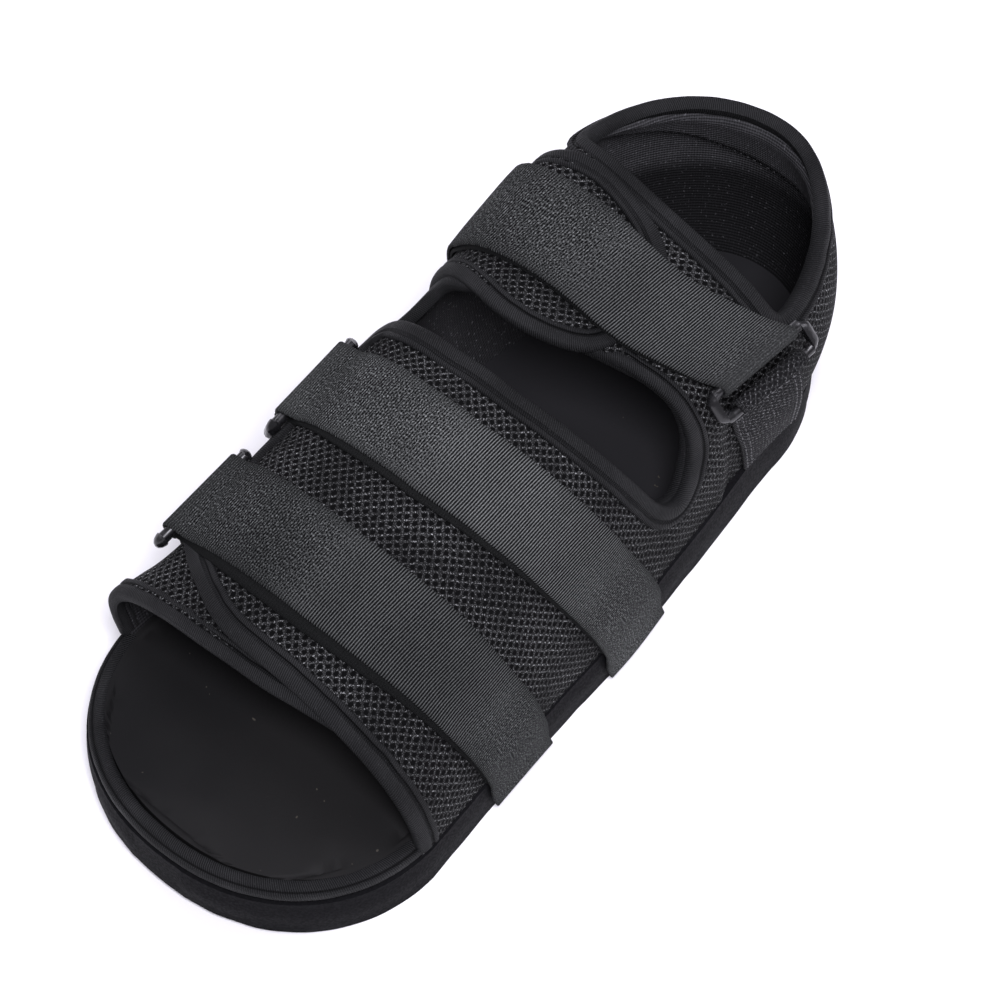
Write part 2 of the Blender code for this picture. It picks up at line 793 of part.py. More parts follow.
def main():
    for obj in list(bpy.data.objects):
        bpy.data.objects.remove(obj)
    parts = bpy.data.collections.new("post_operative_shoe")
    cutters = bpy.data.collections.new("cutters")
    bpy.context.scene.collection.children.link(parts)
    bpy.context.scene.collection.children.link(cutters)

    paint(build_sole(parts), "sole_foam", (0.020, 0.020, 0.022), 0.85)
    paint(build_footbed(parts), "footbed_foam", (0.012, 0.012, 0.012), 0.8)
    paint(build_toe_rim(parts), "binding_tape", (0.014, 0.014, 0.015), 0.75)
    paint(build_upper(parts, cutters), "mesh_fabric", (0.016, 0.016, 0.017), 0.8)
    paint(build_vamp_flap(parts, cutters), "mesh_fabric", (0.016, 0.016, 0.017), 0.8)
    paint(build_ankle_flap(parts), "mesh_fabric", (0.016, 0.016, 0.017), 0.8)
    for row in STRAPS:
        paint(build_strap(row, parts), "loop_tape", (0.035, 0.035, 0.037), 0.9)
        paint(build_ring(row, parts), "ring_plastic", (0.008, 0.008, 0.009), 0.2)
        paint(build_tab(row, parts), "tab_fabric", (0.016, 0.016, 0.017), 0.8)


main()
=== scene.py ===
# %% [markdown]
# # A post operative shoe, from solids to cloth
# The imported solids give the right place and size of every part. In this lesson
# each of them gets a finished piece laid over it: open mesh, ribbed binding,
# looped tape, foam and glossy plastic. The surface of the upper is a table of
# sections, so every layer of cloth can be laid at its own height over it.

import math

import bmesh
import bpy
from mathutils import Matrix, Vector, noise


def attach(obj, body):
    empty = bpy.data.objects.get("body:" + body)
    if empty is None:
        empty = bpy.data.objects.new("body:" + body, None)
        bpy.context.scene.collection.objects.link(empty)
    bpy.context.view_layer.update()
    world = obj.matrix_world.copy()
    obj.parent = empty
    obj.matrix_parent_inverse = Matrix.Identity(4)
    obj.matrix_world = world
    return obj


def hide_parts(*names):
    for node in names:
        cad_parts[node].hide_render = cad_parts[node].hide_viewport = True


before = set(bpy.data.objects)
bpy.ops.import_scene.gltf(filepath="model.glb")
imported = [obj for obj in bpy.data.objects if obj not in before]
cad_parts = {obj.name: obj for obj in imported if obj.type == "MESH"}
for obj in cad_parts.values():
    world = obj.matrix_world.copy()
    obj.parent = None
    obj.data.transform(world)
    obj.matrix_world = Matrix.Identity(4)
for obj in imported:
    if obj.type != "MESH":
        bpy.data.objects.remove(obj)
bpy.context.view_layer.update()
print("solids:", sorted(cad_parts))

# %% [markdown]
# ## The camera
# The camera stands 1.2 m from the shoe, in front of it on its outer side and
# well above. A long lens keeps the perspective as gentle as in the photo, and
# a small shift puts the shoe in the same place of the frame.

# %% Camera
CAMERA_TURN = 42.0
CAMERA_RISE = 57.0
CAMERA_REACH = 1.2
AIM = Vector((0.0, -0.003, 0.040))
LENS = 139.64
SHIFT = 0.02525

turn = math.radians(CAMERA_TURN)
rise = math.radians(CAMERA_RISE)
back = Vector((math.sin(turn) * math.cos(rise), -math.cos(turn) * math.cos(rise), math.sin(rise)))
bpy.ops.object.camera_add(location=AIM + CAMERA_REACH * back)
camera = bpy.context.object
camera.rotation_euler = back.to_track_quat("Z", "Y").to_euler()
camera.data.sensor_width = 36.0
camera.data.lens = LENS
camera.data.shift_x = SHIFT
camera.data.shift_y = SHIFT
bpy.context.scene.camera = camera
print("camera at", tuple(round(v, 3) for v in camera.location))

# %% [markdown]
# ## The plan of the sole
# A shoe for either foot is the same on both sides. Its plan is a rounded toe,
# a straight run that narrows, and a rounded heel, so one table of half widths
# and two rounding powers describe it.

# %% Sizes and the plan
LENGTH = 0.292
BALL_WIDTH = 0.124
HEEL_WIDTH = 0.086
SOLE_HEIGHT = 0.018
HEEL_RAISE = 0.002
TOE_SPRING = 0.003
TOE_POWER = 2.15
HEEL_POWER = 2.0
TOE_SHARE = 0.1986
HEEL_SHARE = 0.832
PLAN_POINTS = 240

# Share of the length, share of the way from ball to heel width
OUTLINE = (
    (0.1986, 0.000),
    (0.3116, 0.162),
    (0.4247, 0.297),
    (0.5270, 0.378),
    (0.6230, 0.595),
    (0.6986, 0.730),
    (0.7840, 0.919),
    (0.8320, 1.000),
)


def mix(a, b, t):
    return a + (b - a) * t


def smooth(low, high, value):
    t = min(1.0, max(0.0, (value - low) / (high - low)))
    return t * t * (3.0 - 2.0 * t)


def along(share):
    return LENGTH * (share - 0.5)


def share_at(y):
    return y / LENGTH + 0.5


def lengths(points):
    """Distance along a line of points, at each of them."""
    run = [0.0]
    for a, b in zip(points, points[1:]):
        run.append(run[-1] + (b - a).length)
    return run


def places_on(run, wanted_places):
    """For each wanted place on a run of lengths, its step and its part of that step."""
    found = []
    j = 0
    for wanted in wanted_places:
        while j < len(run) - 2 and run[j + 1] < wanted:
            j += 1
        found.append((j, (wanted - run[j]) / max(1e-9, run[j + 1] - run[j])))
    return found


def look_up(rows, share):
    """All columns of a table at a share of its first column, on smooth curves."""
    if share <= rows[0][0]:
        return rows[0]
    if share >= rows[-1][0]:
        return rows[-1]
    i = 0
    while rows[i + 1][0] < share:
        i += 1
    before = rows[max(i - 1, 0)]
    start = rows[i]
    end = rows[i + 1]
    after = rows[min(i + 2, len(rows) - 1)]
    span = end[0] - start[0]
    t = (share - start[0]) / span
    a = 2 * t**3 - 3 * t**2 + 1
    b = (t**3 - 2 * t**2 + t) * span / (end[0] - before[0])
    c = 3 * t**2 - 2 * t**3
    d = (t**3 - t**2) * span / (after[0] - start[0])
    return [
        start[k] * a + (end[k] - before[k]) * b + end[k] * c + (after[k] - start[k]) * d
        for k in range(len(start))
    ]


def rounded(amount, power):
    return max(0.0, 1.0 - abs(amount) ** power) ** (1.0 / power)


def half_width(share):
    inner = min(max(share, TOE_SHARE), HEEL_SHARE)
    half = 0.5 * mix(BALL_WIDTH, HEEL_WIDTH, look_up(OUTLINE, inner)[1])
    if share < TOE_SHARE:
        half *= rounded((TOE_SHARE - share) / TOE_SHARE, TOE_POWER)
    if share > HEEL_SHARE:
        half *= rounded((share - HEEL_SHARE) / (1.0 - HEEL_SHARE), HEEL_POWER)
    return half


def toe_lift(y):
    reach = max(0.0, along(0.17) - y) / (along(0.17) - along(0.0))
    return TOE_SPRING * reach * reach


def sole_top(y):
    return SOLE_HEIGHT + HEEL_RAISE * smooth(0.35, 0.8, share_at(y)) + 0.6 * toe_lift(y)


def plan(setback, count):
    """Points of the sole's plan pulled inwards, evenly turned round the toe and heel."""
    ball = along(TOE_SHARE)
    seat = along(HEEL_SHARE)
    quarter = count // 6
    side = count // 2 - 2 * quarter
    right = []
    for i in range(quarter):
        angle = math.radians(90.0 * i / quarter)
        reach = math.sin(angle) ** (2.0 / TOE_POWER)
        rise_part = math.cos(angle) ** (2.0 / TOE_POWER)
        x = (half_width(TOE_SHARE) - setback(ball)) * reach
        right.append((x, ball - (ball - along(0.0) - setback(along(0.0))) * rise_part))
    for i in range(side):
        y = mix(ball, seat, i / side)
        right.append((half_width(share_at(y)) - setback(y), y))
    for i in range(quarter + 1):
        angle = math.radians(90.0 * i / quarter)
        reach = math.cos(angle) ** (2.0 / HEEL_POWER)
        rise_part = math.sin(angle) ** (2.0 / HEEL_POWER)
        x = (half_width(HEEL_SHARE) - setback(seat)) * reach
        right.append((x, seat + (along(1.0) - seat - setback(along(1.0))) * rise_part))
    return right + [(-x, y) for x, y in reversed(right[1:-1])]


print("plan of", len(plan(lambda y: 0.0, PLAN_POINTS)), "points")

# %% [markdown]
# ## The surface of the upper
# The upper is an arch at each place along the shoe. A turn of 0 is its outer
# foot, 90 its crest and 180 its inner foot. Real cloth is never quite smooth,
# so soft troughs, listed one by one, are pressed into the surface itself, and all
# the layers that are laid on it share them and stay clear of each other.

# %% Sections, heel and troughs
INSTEP_HEIGHT = 0.085
COLLAR_HEIGHT = 0.097
GAP = 0.0003

# Share of the length, crest height as a share of the instep, roundness outer and
# inner, outward bulge outer and inner, tilt, setback outer and inner
SECTIONS = (
    (0.164, 0.680, 2.1, 3.0, 0.0000, 0.0095, 0.002, 0.0038, 0.0032),
    (0.216, 0.750, 2.1, 3.2, 0.0000, 0.0042, 0.003, 0.0038, 0.0038),
    (0.284, 0.845, 2.1, 3.4, 0.0000, 0.0022, 0.004, 0.0038, 0.0038),
    (0.387, 0.947, 2.1, 3.5, 0.0000, 0.0030, 0.005, 0.0038, 0.0038),
    (0.490, 0.995, 2.1, 3.7, 0.0000, 0.0045, 0.006, 0.0038, 0.0038),
    (0.586, 1.000, 2.2, 4.0, 0.0000, 0.0065, 0.008, 0.0038, 0.0038),
    (0.647, 1.000, 2.5, 4.6, 0.0000, 0.0080, 0.010, 0.0038, 0.0038),
    (0.700, 1.020, 3.4, 5.4, 0.0000, 0.0094, 0.011, 0.0038, 0.0038),
    (0.760, 1.080, 4.2, 6.4, 0.0010, 0.0102, 0.013, 0.0024, 0.0038),
    (0.832, 1.110, 4.6, 8.0, 0.0060, 0.0102, 0.010, 0.0010, 0.0030),
)
HEEL_PROFILE = (
    (0.00, 0.0000),
    (0.15, 0.0036),
    (0.35, 0.0068),
    (0.60, 0.0074),
    (0.80, 0.0056),
    (1.00, 0.0022),
)
# Ends of each trough as share and turn, half width and depth in millimetres
TROUGHS = (
    (0.215, 40.0, 0.250, 75.0, 6.0, 0.9),
    (0.205, 118.0, 0.260, 134.0, 5.0, 1.0),
    (0.340, 20.0, 0.400, 62.0, 8.0, 0.9),
    (0.370, 112.0, 0.385, 136.0, 5.0, 0.7),
    (0.540, 100.0, 0.500, 128.0, 5.0, 1.0),
    (0.560, 28.0, 0.610, 12.0, 7.0, 1.0),
    (0.700, 22.0, 0.760, 10.0, 6.0, 0.9),
    (0.655, 66.0, 0.690, 84.0, 4.0, 0.8),
    (0.640, 120.0, 0.660, 142.0, 5.0, 1.0),
    (0.795, 68.0, 0.800, 98.0, 4.0, -0.7),
    (0.240, 100.0, 0.245, 60.0, 9.0, -0.6),
    (0.395, 90.0, 0.380, 50.0, 8.0, -0.6),
)
MM_PER_DEGREE = 0.95


def trough_depth(share, angle):
    depth = 0.0
    x = share * LENGTH * 1000.0
    y = angle * MM_PER_DEGREE
    for share_a, turn_a, share_b, turn_b, width, deep in TROUGHS:
        ax = share_a * LENGTH * 1000.0
        ay = turn_a * MM_PER_DEGREE
        bx = share_b * LENGTH * 1000.0 - ax
        by = turn_b * MM_PER_DEGREE - ay
        t = min(1.0, max(0.0, ((x - ax) * bx + (y - ay) * by) / (bx * bx + by * by)))
        away = math.hypot(x - ax - t * bx, y - ay - t * by) / width
        if away < 3.0:
            depth += deep * math.exp(-away * away)
    feet = smooth(2.0, 14.0, min(angle, 180.0 - angle))
    wander = noise.noise(Vector((share * 9.0, angle * 0.035, 0.0)))
    return 0.001 * (depth + 0.45 * wander) * feet


def front_edge(angle):
    """Share of the length at which the upper begins: furthest forward over the inner side."""
    return mix(0.198, 0.164, smooth(36.0, 104.0, angle))


def arch(row, share, angle):
    c = math.cos(angle)
    s = math.sin(angle)
    side = 0 if c >= 0.0 else 1
    low = sole_top(along(share)) + GAP
    half = half_width(min(share, HEEL_SHARE)) - row[7 + side]
    reach = abs(c) ** (2.0 / row[2 + side])
    lift = abs(s) ** (2.0 / row[2 + side])
    x = (half + row[4 + side] * math.sin(0.72 * math.pi * lift)) * reach * (1 - 2 * side)
    z = low + (INSTEP_HEIGHT * row[1] - low) * lift - row[6] * (x / half) * lift
    return x, z


def on_upper(share, angle, offset=0.0, pressed=True):
    """Point on the upper at a share of the length and a turn, raised by an offset."""
    row = look_up(SECTIONS, share)
    here = math.radians(min(180.0, max(0.0, angle)))
    x, z = arch(row, share, here)
    before = arch(row, share, max(0.0, here - 0.004))
    after = arch(row, share, min(math.pi, here + 0.004))
    dx = after[0] - before[0]
    dz = after[1] - before[1]
    size = math.hypot(dx, dz)
    raised = offset - (trough_depth(share, angle) if pressed else 0.0)
    low = sole_top(along(share)) + GAP
    return Vector((x + raised * dz / size, along(share), max(low, z - raised * dx / size)))


def on_heel(angle, part, offset=0.0):
    """Point on the heel wall; turn 0 is its outer side, 180 its inner side."""
    c = math.cos(math.radians(angle))
    s = math.sin(math.radians(angle))
    side_turn = 50.0 * part if c >= 0.0 else 180.0 - 50.0 * part
    side = on_upper(HEEL_SHARE, side_turn, offset, False)
    seat = along(HEEL_SHARE)
    depth = LENGTH * (1.0 - HEEL_SHARE)
    bulge = look_up(HEEL_PROFILE, part)[1]
    weight = s * s
    back_reach = depth - look_up(SECTIONS, HEEL_SHARE)[7] + bulge + offset
    part_here = mix(abs(side.x) / half_width(HEEL_SHARE), back_reach / depth, weight)
    x = half_width(HEEL_SHARE) * part_here * abs(c) ** (2.0 / HEEL_POWER) * (1 if c >= 0.0 else -1)
    y = seat + depth * part_here * s ** (2.0 / HEEL_POWER)
    back_z = mix(sole_top(along(1.0)) + GAP, COLLAR_HEIGHT, part)
    return Vector((x, y, mix(side.z, back_z, weight)))


def even_turns(low, high, count, share=0.55):
    """Turns between two limits that stand at even distances round the arch."""
    steps = 1600
    fine = [mix(low, high, i / steps) for i in range(steps + 1)]
    run = lengths([on_upper(share, t, 0.0, False) for t in fine])
    places = [run[-1] * i / count for i in range(count + 1)]
    return [mix(fine[j], fine[j + 1], part) for j, part in places_on(run, places)]


print("turns at even steps:", [round(t) for t in even_turns(0.0, 180.0, 10)])

# %% [markdown]
# ## Materials as sums
# Cloth patterns are sums of waves over a flat layout of each piece, which is
# kept in metres. A small class lets these sums be written as plain maths: it
# holds one socket, and every operator on it adds the node that does the sum.

# %% A helper for shader maths
class Sum:
    def __init__(self, finish, socket):
        self.finish = finish
        self.socket = socket

    def does(self, operation, *others):
        return self.finish.node("ShaderNodeMath", {"operation": operation}, [self, *others])

    def __add__(self, other):
        return self.does("ADD", other)

    def __sub__(self, other):
        return self.does("SUBTRACT", other)

    def __mul__(self, other):
        return self.does("MULTIPLY", other)

    def __truediv__(self, other):
        return self.does("DIVIDE", other)

    def __rsub__(self, other):
        return self.finish.node("ShaderNodeMath", {"operation": "SUBTRACT"}, [other, self])

    __radd__ = __add__
    __rmul__ = __mul__


class Finish:
    """One material, built node by node."""

    def __init__(self, name, **fixed):
        self.material = bpy.data.materials.new(name)
        self.material.use_nodes = True
        self.tree = self.material.node_tree
        self.shader = self.tree.nodes["Principled BSDF"]
        for socket, value in fixed.items():
            self.shader.inputs[socket.replace("_", " ")].default_value = value

    def feed(self, socket, value):
        """Links a sum to a socket, or sets a plain value on it."""
        if isinstance(value, Sum):
            self.tree.links.new(value.socket, socket)
        else:
            socket.default_value = value

    def node(self, kind, settings, inputs, output=0):
        """Adds one node with its settings and inputs, and gives back one of its outputs."""
        made = self.tree.nodes.new(kind)
        for name, value in settings.items():
            setattr(made, name, value)
        pairs = inputs.items() if isinstance(inputs, dict) else enumerate(inputs)
        for key, value in pairs:
            self.feed(made.inputs[key], value)
        return Sum(self, made.outputs[output])

    def layout(self):
        """The piece's own layout in metres: along it, across it, and as a vector."""
        flat = self.node("ShaderNodeUVMap", {"uv_map": "cloth"}, [])
        u, v, _ = self.axes(flat)
        return u, v, flat

    def axes(self, vector):
        parts = self.tree.nodes.new("ShaderNodeSeparateXYZ")
        self.feed(parts.inputs[0], vector)
        return [Sum(self, socket) for socket in parts.outputs]

    def place(self):
        return self.node("ShaderNodeTexCoord", {}, [], "Object")

    def grain(self, scale, detail=2.0, vector=None):
        inputs = {"Scale": scale, "Detail": detail, "Vector": vector or self.place()}
        return self.node("ShaderNodeTexNoise", {}, inputs)

    def ramp(self, value, low, high, start=0.0, end=1.0):
        """A value taken from one range to another, held at the ends."""
        settings = {"interpolation_type": "SMOOTHSTEP"}
        inputs = {"Value": value, "From Min": low, "From Max": high, "To Min": start, "To Max": end}
        return self.node("ShaderNodeMapRange", settings, inputs)

    def blend(self, first, second, part):
        made = self.tree.nodes.new("ShaderNodeMix")
        made.data_type = "RGBA"
        self.feed(made.inputs[0], part)
        for socket, color in ((made.inputs[6], first), (made.inputs[7], second)):
            self.feed(socket, color if isinstance(color, Sum) else (*color, 1.0))
        return Sum(self, made.outputs[2])

    def wave(self, value, pitch, phase=0.0):
        """From 0 to 1 and back once for each pitch."""
        return (value * (2.0 * math.pi / pitch) + phase).does("SINE") * 0.5 + 0.5

    def color(self, value):
        self.feed(self.shader.inputs["Base Color"], value)

    def gloss(self, value):
        self.feed(self.shader.inputs["Roughness"], value)

    def relief(self, height, depth, strength=1.0):
        """Bump from a height of 0 to 1 that stands for a depth in metres."""
        inputs = {"Strength": strength, "Distance": depth, "Height": height}
        self.feed(self.shader.inputs["Normal"], self.node("ShaderNodeBump", {}, inputs))


print("Blender", bpy.app.version_string)

# %% [markdown]
# ## The open mesh cloth
# The upper is a thick black mesh: rows of round holes between knitted threads,
# each row set half a hole further than the last. Two waves that run slantwise
# over the layout multiply to such a staggered net. The threads are lighter
# and shinier than the holes: their bright broken strokes are painted highlight,
# the sparkle of the mesh, and the holes are painted near black, the dark lining
# in painted shade.

# %% Mesh finish
HOLE_PITCH_ROUND = 0.00325
HOLE_PITCH_ALONG = 0.00334


def mesh_finish(name, thread, hole, depth, round_pitch, along_pitch):
    """Round holes between knitted threads, in staggered rows."""
    cloth = Finish(name, Specular_IOR_Level=0.12)
    u, v, flat = cloth.layout()
    wobble = (cloth.grain(240.0, 1.0, flat) - 0.5) * 0.0011
    first = cloth.wave(u / round_pitch + (v + wobble) / along_pitch, 1.0)
    second = cloth.wave(u / round_pitch - (v + wobble) / along_pitch, 1.0)
    net = cloth.ramp(first * second, 0.08, 0.40, 1.0, 0.0)
    dashes = cloth.ramp(first, 0.0, 0.16, 1.0, 0.0) * cloth.ramp(second, 0.10, 0.50, 0.12, 1.0)
    lines = dashes.does("MAXIMUM", cloth.ramp(second, 0.0, 0.10, 0.38, 0.0))
    around = cloth.ramp(first * second, 0.06, 0.16) * cloth.ramp(first * second, 0.24, 0.40, 1.0, 0.0)
    lines = lines * 0.85 + around * 0.22
    strand = cloth.ramp(cloth.grain(2100.0, 2.0, flat), 0.49, 0.64, 0.01, 1.0)
    patchy = cloth.ramp(cloth.grain(38.0, 3.0), 0.3, 0.7, 0.65, 1.20)
    lit = (lines * strand + net * 0.02) * patchy
    # Painted light: the bright thread strokes are painted highlight, and the holes are painted near black
    # as shade.
    cloth.color(cloth.blend(hole, thread, lit))
    cloth.gloss(cloth.ramp(lit, 0.0, 0.6, 0.90, 0.50))
    cloth.relief(net * 0.6 + lines * strand * 0.4, depth, 1.0)
    return cloth.material


# Thread colour brightened to painted highlight; hole colour painted near black as shade.
MESH_THREAD_HIGHLIGHT = (0.430, 0.440, 0.440)
MESH_HOLE_SHADE = (0.0005, 0.0005, 0.0007)
MESH = mesh_finish("mesh_fabric", MESH_THREAD_HIGHLIGHT, MESH_HOLE_SHADE, 0.0008, HOLE_PITCH_ROUND, HOLE_PITCH_ALONG)
print("mesh holes every", round(HOLE_PITCH_ALONG * 1000, 2), "mm along the shoe")

# %% [markdown]
# ## Ribbed binding
# The binding is a woven tape with fine ribs across it, folded over an edge. A
# wave makes the ribs, and noise bends them a little and wears some of them off.

# %% Binding finish
RIB_PITCH = 0.00068
binding = Finish("binding_tape", Specular_IOR_Level=0.16)
u, v, flat = binding.layout()
rib = binding.wave(u + v * 0.25 + binding.grain(300.0, 1.0, flat) * 0.0003, RIB_PITCH)
worn = binding.grain(60.0, 4.0)
seam = binding.ramp((v - 0.0028).does("ABSOLUTE"), 0.0001, 0.0006)
painted_glint = binding.ramp(binding.grain(1500.0, 2.0, flat), 0.62, 0.72)
uneven = binding.ramp(binding.grain(24.0, 3.0), 0.35, 0.65, 0.60, 1.35)
# The rib crests and the sparse flecks are painted lighter: painted highlight and glints on the dark tape.
tone = (rib * rib * 0.65 + worn * 0.30 + painted_glint * 1.1) * seam * uneven
binding.color(binding.blend((0.0011, 0.0012, 0.0014), (0.022, 0.0225, 0.0235), tone))
binding.gloss(binding.ramp(worn, 0.3, 0.7, 0.75, 0.55))
binding.relief(rib * 0.7 + binding.grain(500.0, 2.0) * 0.3, 0.00030, 1.0)
BINDING = binding.material
print("ribs every", RIB_PITCH * 1000, "mm")

# %% [markdown]
# ## Looped tape
# The straps are looped tape: short loops in cross rows that are neat in the
# middle of a strap and brushed out of line near its ends. The place along the
# tape decides how much of each is shown.

# %% Looped tape finish
LOOP_PITCH = 0.00090


def tape_finish(name, light, dark, tidy_from, tidy_to):
    tape = Finish(name, Specular_IOR_Level=0.06)
    u, v, flat = tape.layout()
    tidy = tape.ramp(u, tidy_from, tidy_from + 0.020) * tape.ramp(u, tidy_to, tidy_to + 0.025, 1.0, 0.0)
    # The lower layer, back under the strap past the fold, is painted almost black: painted shade.
    lower_layer_shade = tape.ramp(u, -0.006, -0.001, 1.0, 0.0)
    fold = tape.ramp(u, 0.003, 0.013, 1.0, 0.0)
    fuzz = tape.grain(1500.0, 3.0, flat)
    stray = tape.grain(400.0, 2.0, flat) * (1.0 - tidy) * 0.0004
    rows = tape.wave(u + fuzz * 0.00018 + stray, LOOP_PITCH)
    loops = tape.wave(v + tape.grain(900.0, 1.0, flat) * 0.0009, 0.00066)
    neat = rows * rows * rows * (0.60 + 0.40 * loops)
    brushed = tape.ramp(tape.grain(2200.0, 1.0, flat), 0.46, 0.68) * (0.35 + 0.65 * rows)
    height = neat * (0.25 + 0.70 * tidy) + brushed * (0.75 - 0.65 * tidy)
    cloud = tape.ramp(tape.grain(26.0, 4.0), 0.3, 0.7, 0.78, 1.18)
    shown = height * cloud * (1.0 - 0.65 * fold) + fold * 0.10
    tape.color(tape.blend(dark, light, shown * (1.0 - 0.93 * lower_layer_shade) + lower_layer_shade * 0.035))
    tape.gloss(tape.ramp(fuzz, 0.3, 0.7, 0.95, 0.68))
    tape.relief(height, 0.00045, 1.0)
    return tape.material


TAPE_DARK = (0.0008, 0.0008, 0.0010)
# All three straps are one tape: their different light colours are painted light and shade, lighter on the
# middle strap and darker on the front one.
TAPES = {
    "front": tape_finish("loop_tape_front", (0.190, 0.200, 0.196), TAPE_DARK, 0.050, 0.115),
    "middle": tape_finish("loop_tape_middle", (0.275, 0.288, 0.282), TAPE_DARK, 0.050, 0.115),
    "ankle": tape_finish("loop_tape_ankle", (0.220, 0.230, 0.226), TAPE_DARK, 0.002, 0.050),
}

print("tapes:", sorted(TAPES))

# %% [markdown]
# ## Lining
# The lining and the pad of the collar are a close knit, two waves across each
# other. Deep inside the shoe little light arrives, so the knit darkens there.

# %% Lining finish
def knit_finish(name, low, high, floor_part, gain):
    """A close knit with light specks, darker below a height."""
    lining = Finish(name, Roughness=0.85, Specular_IOR_Level=0.12)
    u, v, flat = lining.layout()
    knit = lining.wave(u + lining.grain(400.0, 1.0, flat) * 0.0003, 0.00120) * 0.6
    knit = knit + lining.wave(v, 0.00105) * 0.4
    speck = lining.ramp(lining.grain(900.0, 2.0, flat), 0.62, 0.72)
    tall = lining.axes(lining.place())[2]
    shade = lining.ramp(tall, low, high, floor_part, 1.0)
    knit_tone = (knit * 0.40 + lining.grain(150.0, 3.0) * 0.20) * shade * gain
    tone = knit_tone + speck * (0.35 + 0.55 * shade)
    lining.color(lining.blend((0.0060, 0.0060, 0.0065), (0.120, 0.120, 0.126), tone))
    lining.relief(knit, 0.00030, 0.9)
    return lining.material


# The lining's knit is dimmed to half as painted shade inside the shoe.
LINING = knit_finish("lining_knit", 0.0, 0.01, 1.0, 0.5)
PAD = knit_finish("pad_knit", 0.058, 0.068, 0.10, 1.1)

print("knits:", LINING.name, "and", PAD.name)

# %% [markdown]
# ## Foams
# The insole is a smooth matte foam with a little dust, and the sole a harder
# foam that is scuffed near the floor. Both are noise of several sizes, and the
# insole is also painted lighter towards the heel as painted light.

# %% Insole and sole finishes
insole = Finish("footbed_foam", Specular_IOR_Level=0.12)
soft = insole.grain(9.0, 4.0)
pores = insole.grain(1400.0, 2.0)
dust = insole.ramp(insole.grain(420.0, 1.0), 0.77, 0.80)
shade = insole.blend((0.0062, 0.0062, 0.0065), (0.0115, 0.0113, 0.0112), insole.ramp(soft, 0.3, 0.7))
y = insole.axes(insole.place())[1]
# Painted light: the insole is painted lighter towards the heel.
painted_light_heelward = insole.blend(shade, (0.024, 0.024, 0.027), insole.ramp(y, -0.030, 0.030, 0.0, 0.42))
insole.color(insole.blend(painted_light_heelward, (0.060, 0.055, 0.045), dust * 0.8))
insole.gloss(insole.ramp(soft, 0.3, 0.7, 0.78, 0.60))
insole.relief(pores * 0.5 + insole.grain(45.0, 3.0) * 0.5, 0.00012, 0.6)
INSOLE = insole.material

foam = Finish("sole_foam", Specular_IOR_Level=0.05)
height = foam.axes(foam.place())[2]
nap = foam.grain(1100.0, 3.0)
scuff = foam.ramp(foam.grain(70.0, 5.0), 0.52, 0.72) * foam.ramp(height, 0.0015, 0.006, 1.0, 0.15)
base = foam.blend((0.0026, 0.0026, 0.0031), (0.0095, 0.0095, 0.0107), nap)
foam.color(foam.blend(base, (0.022, 0.022, 0.024), scuff * 0.6))
foam.gloss(foam.ramp(nap, 0.3, 0.7, 0.80, 0.62))
foam.relief(nap * 0.5 + foam.grain(140.0, 3.0) * 0.5, 0.00018, 0.7)
SOLE = foam.material

print("foam finishes of", len(insole.tree.nodes), "and", len(foam.tree.nodes), "nodes")

# %% [markdown]
# ## Plastic and thread
# The rings are moulded plastic, the only glossy parts, with faint handling
# marks. The thread is a bright grain, and the floor a pale paper.

# %% Plastic, thread and floor finishes
plastic = Finish("ring_plastic", Specular_IOR_Level=0.5)
marks = plastic.ramp(plastic.grain(350.0, 4.0), 0.45, 0.70)
plastic.color(plastic.blend((0.0060, 0.0060, 0.0066), (0.0150, 0.0150, 0.0165), marks))
plastic.gloss(plastic.ramp(marks, 0.0, 1.0, 0.26, 0.40))
plastic.relief(plastic.grain(90.0, 2.0), 0.00010, 0.3)
PLASTIC = plastic.material

thread = Finish("sewing_thread", Roughness=0.45, Specular_IOR_Level=0.5)
twist = thread.grain(1800.0, 2.0)
thread.color(thread.blend((0.008, 0.008, 0.009), (0.110, 0.110, 0.116), thread.ramp(twist, 0.35, 0.65)))
THREAD = thread.material

# The tab's mesh likewise: its bright threads are painted highlight and its holes painted shade.
TAB_THREAD_HIGHLIGHT = (0.300, 0.305, 0.310)
TAB_HOLE_SHADE = (0.0060, 0.0060, 0.0066)
TAB_MESH = mesh_finish("tab_fabric", TAB_THREAD_HIGHLIGHT, TAB_HOLE_SHADE, 0.0004, 0.0019, 0.0021)

paper = Finish("pale_floor", Roughness=0.9, Specular_IOR_Level=0.1)
paper.color(paper.blend((0.90, 0.90, 0.90), (0.93, 0.93, 0.93), paper.grain(3.0, 3.0)))
print("finishes:", len(bpy.data.materials))

# %% [markdown]
# ## Laying cloth
# A sheet of cloth is two grids of points, one for each face, with walls round
# the edge and round the holes that are cut from it. The layout is written with
# it, in metres, so that the mesh and the ribs keep their size everywhere.

# %% Cloth helpers
SMOOTH_ANGLE = 38.0


def settle(piece, finish, slot, *nodes):
    """Gives a piece its finish and its place on the shoe."""
    piece.data.materials.clear()
    piece.data.materials.append(finish)
    bpy.ops.object.select_all(action="DESELECT")
    piece.select_set(True)
    bpy.context.view_layer.objects.active = piece
    bpy.ops.object.shade_smooth_by_angle(angle=math.radians(SMOOTH_ANGLE))
    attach(piece, "root")
    if nodes:
        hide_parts(*nodes)
    corners = [v.co for v in piece.data.vertices]
    size = [max(c[k] for c in corners) - min(c[k] for c in corners) for k in range(3)]
    print(piece.name, len(piece.data.polygons), "faces,", [round(s * 1000) for s in size], "mm")


def named(name, bm):
    mesh = bpy.data.meshes.new(name)
    bm.to_mesh(mesh)
    bm.free()
    piece = bpy.data.objects.new(name, mesh)
    bpy.context.scene.collection.objects.link(piece)
    return piece


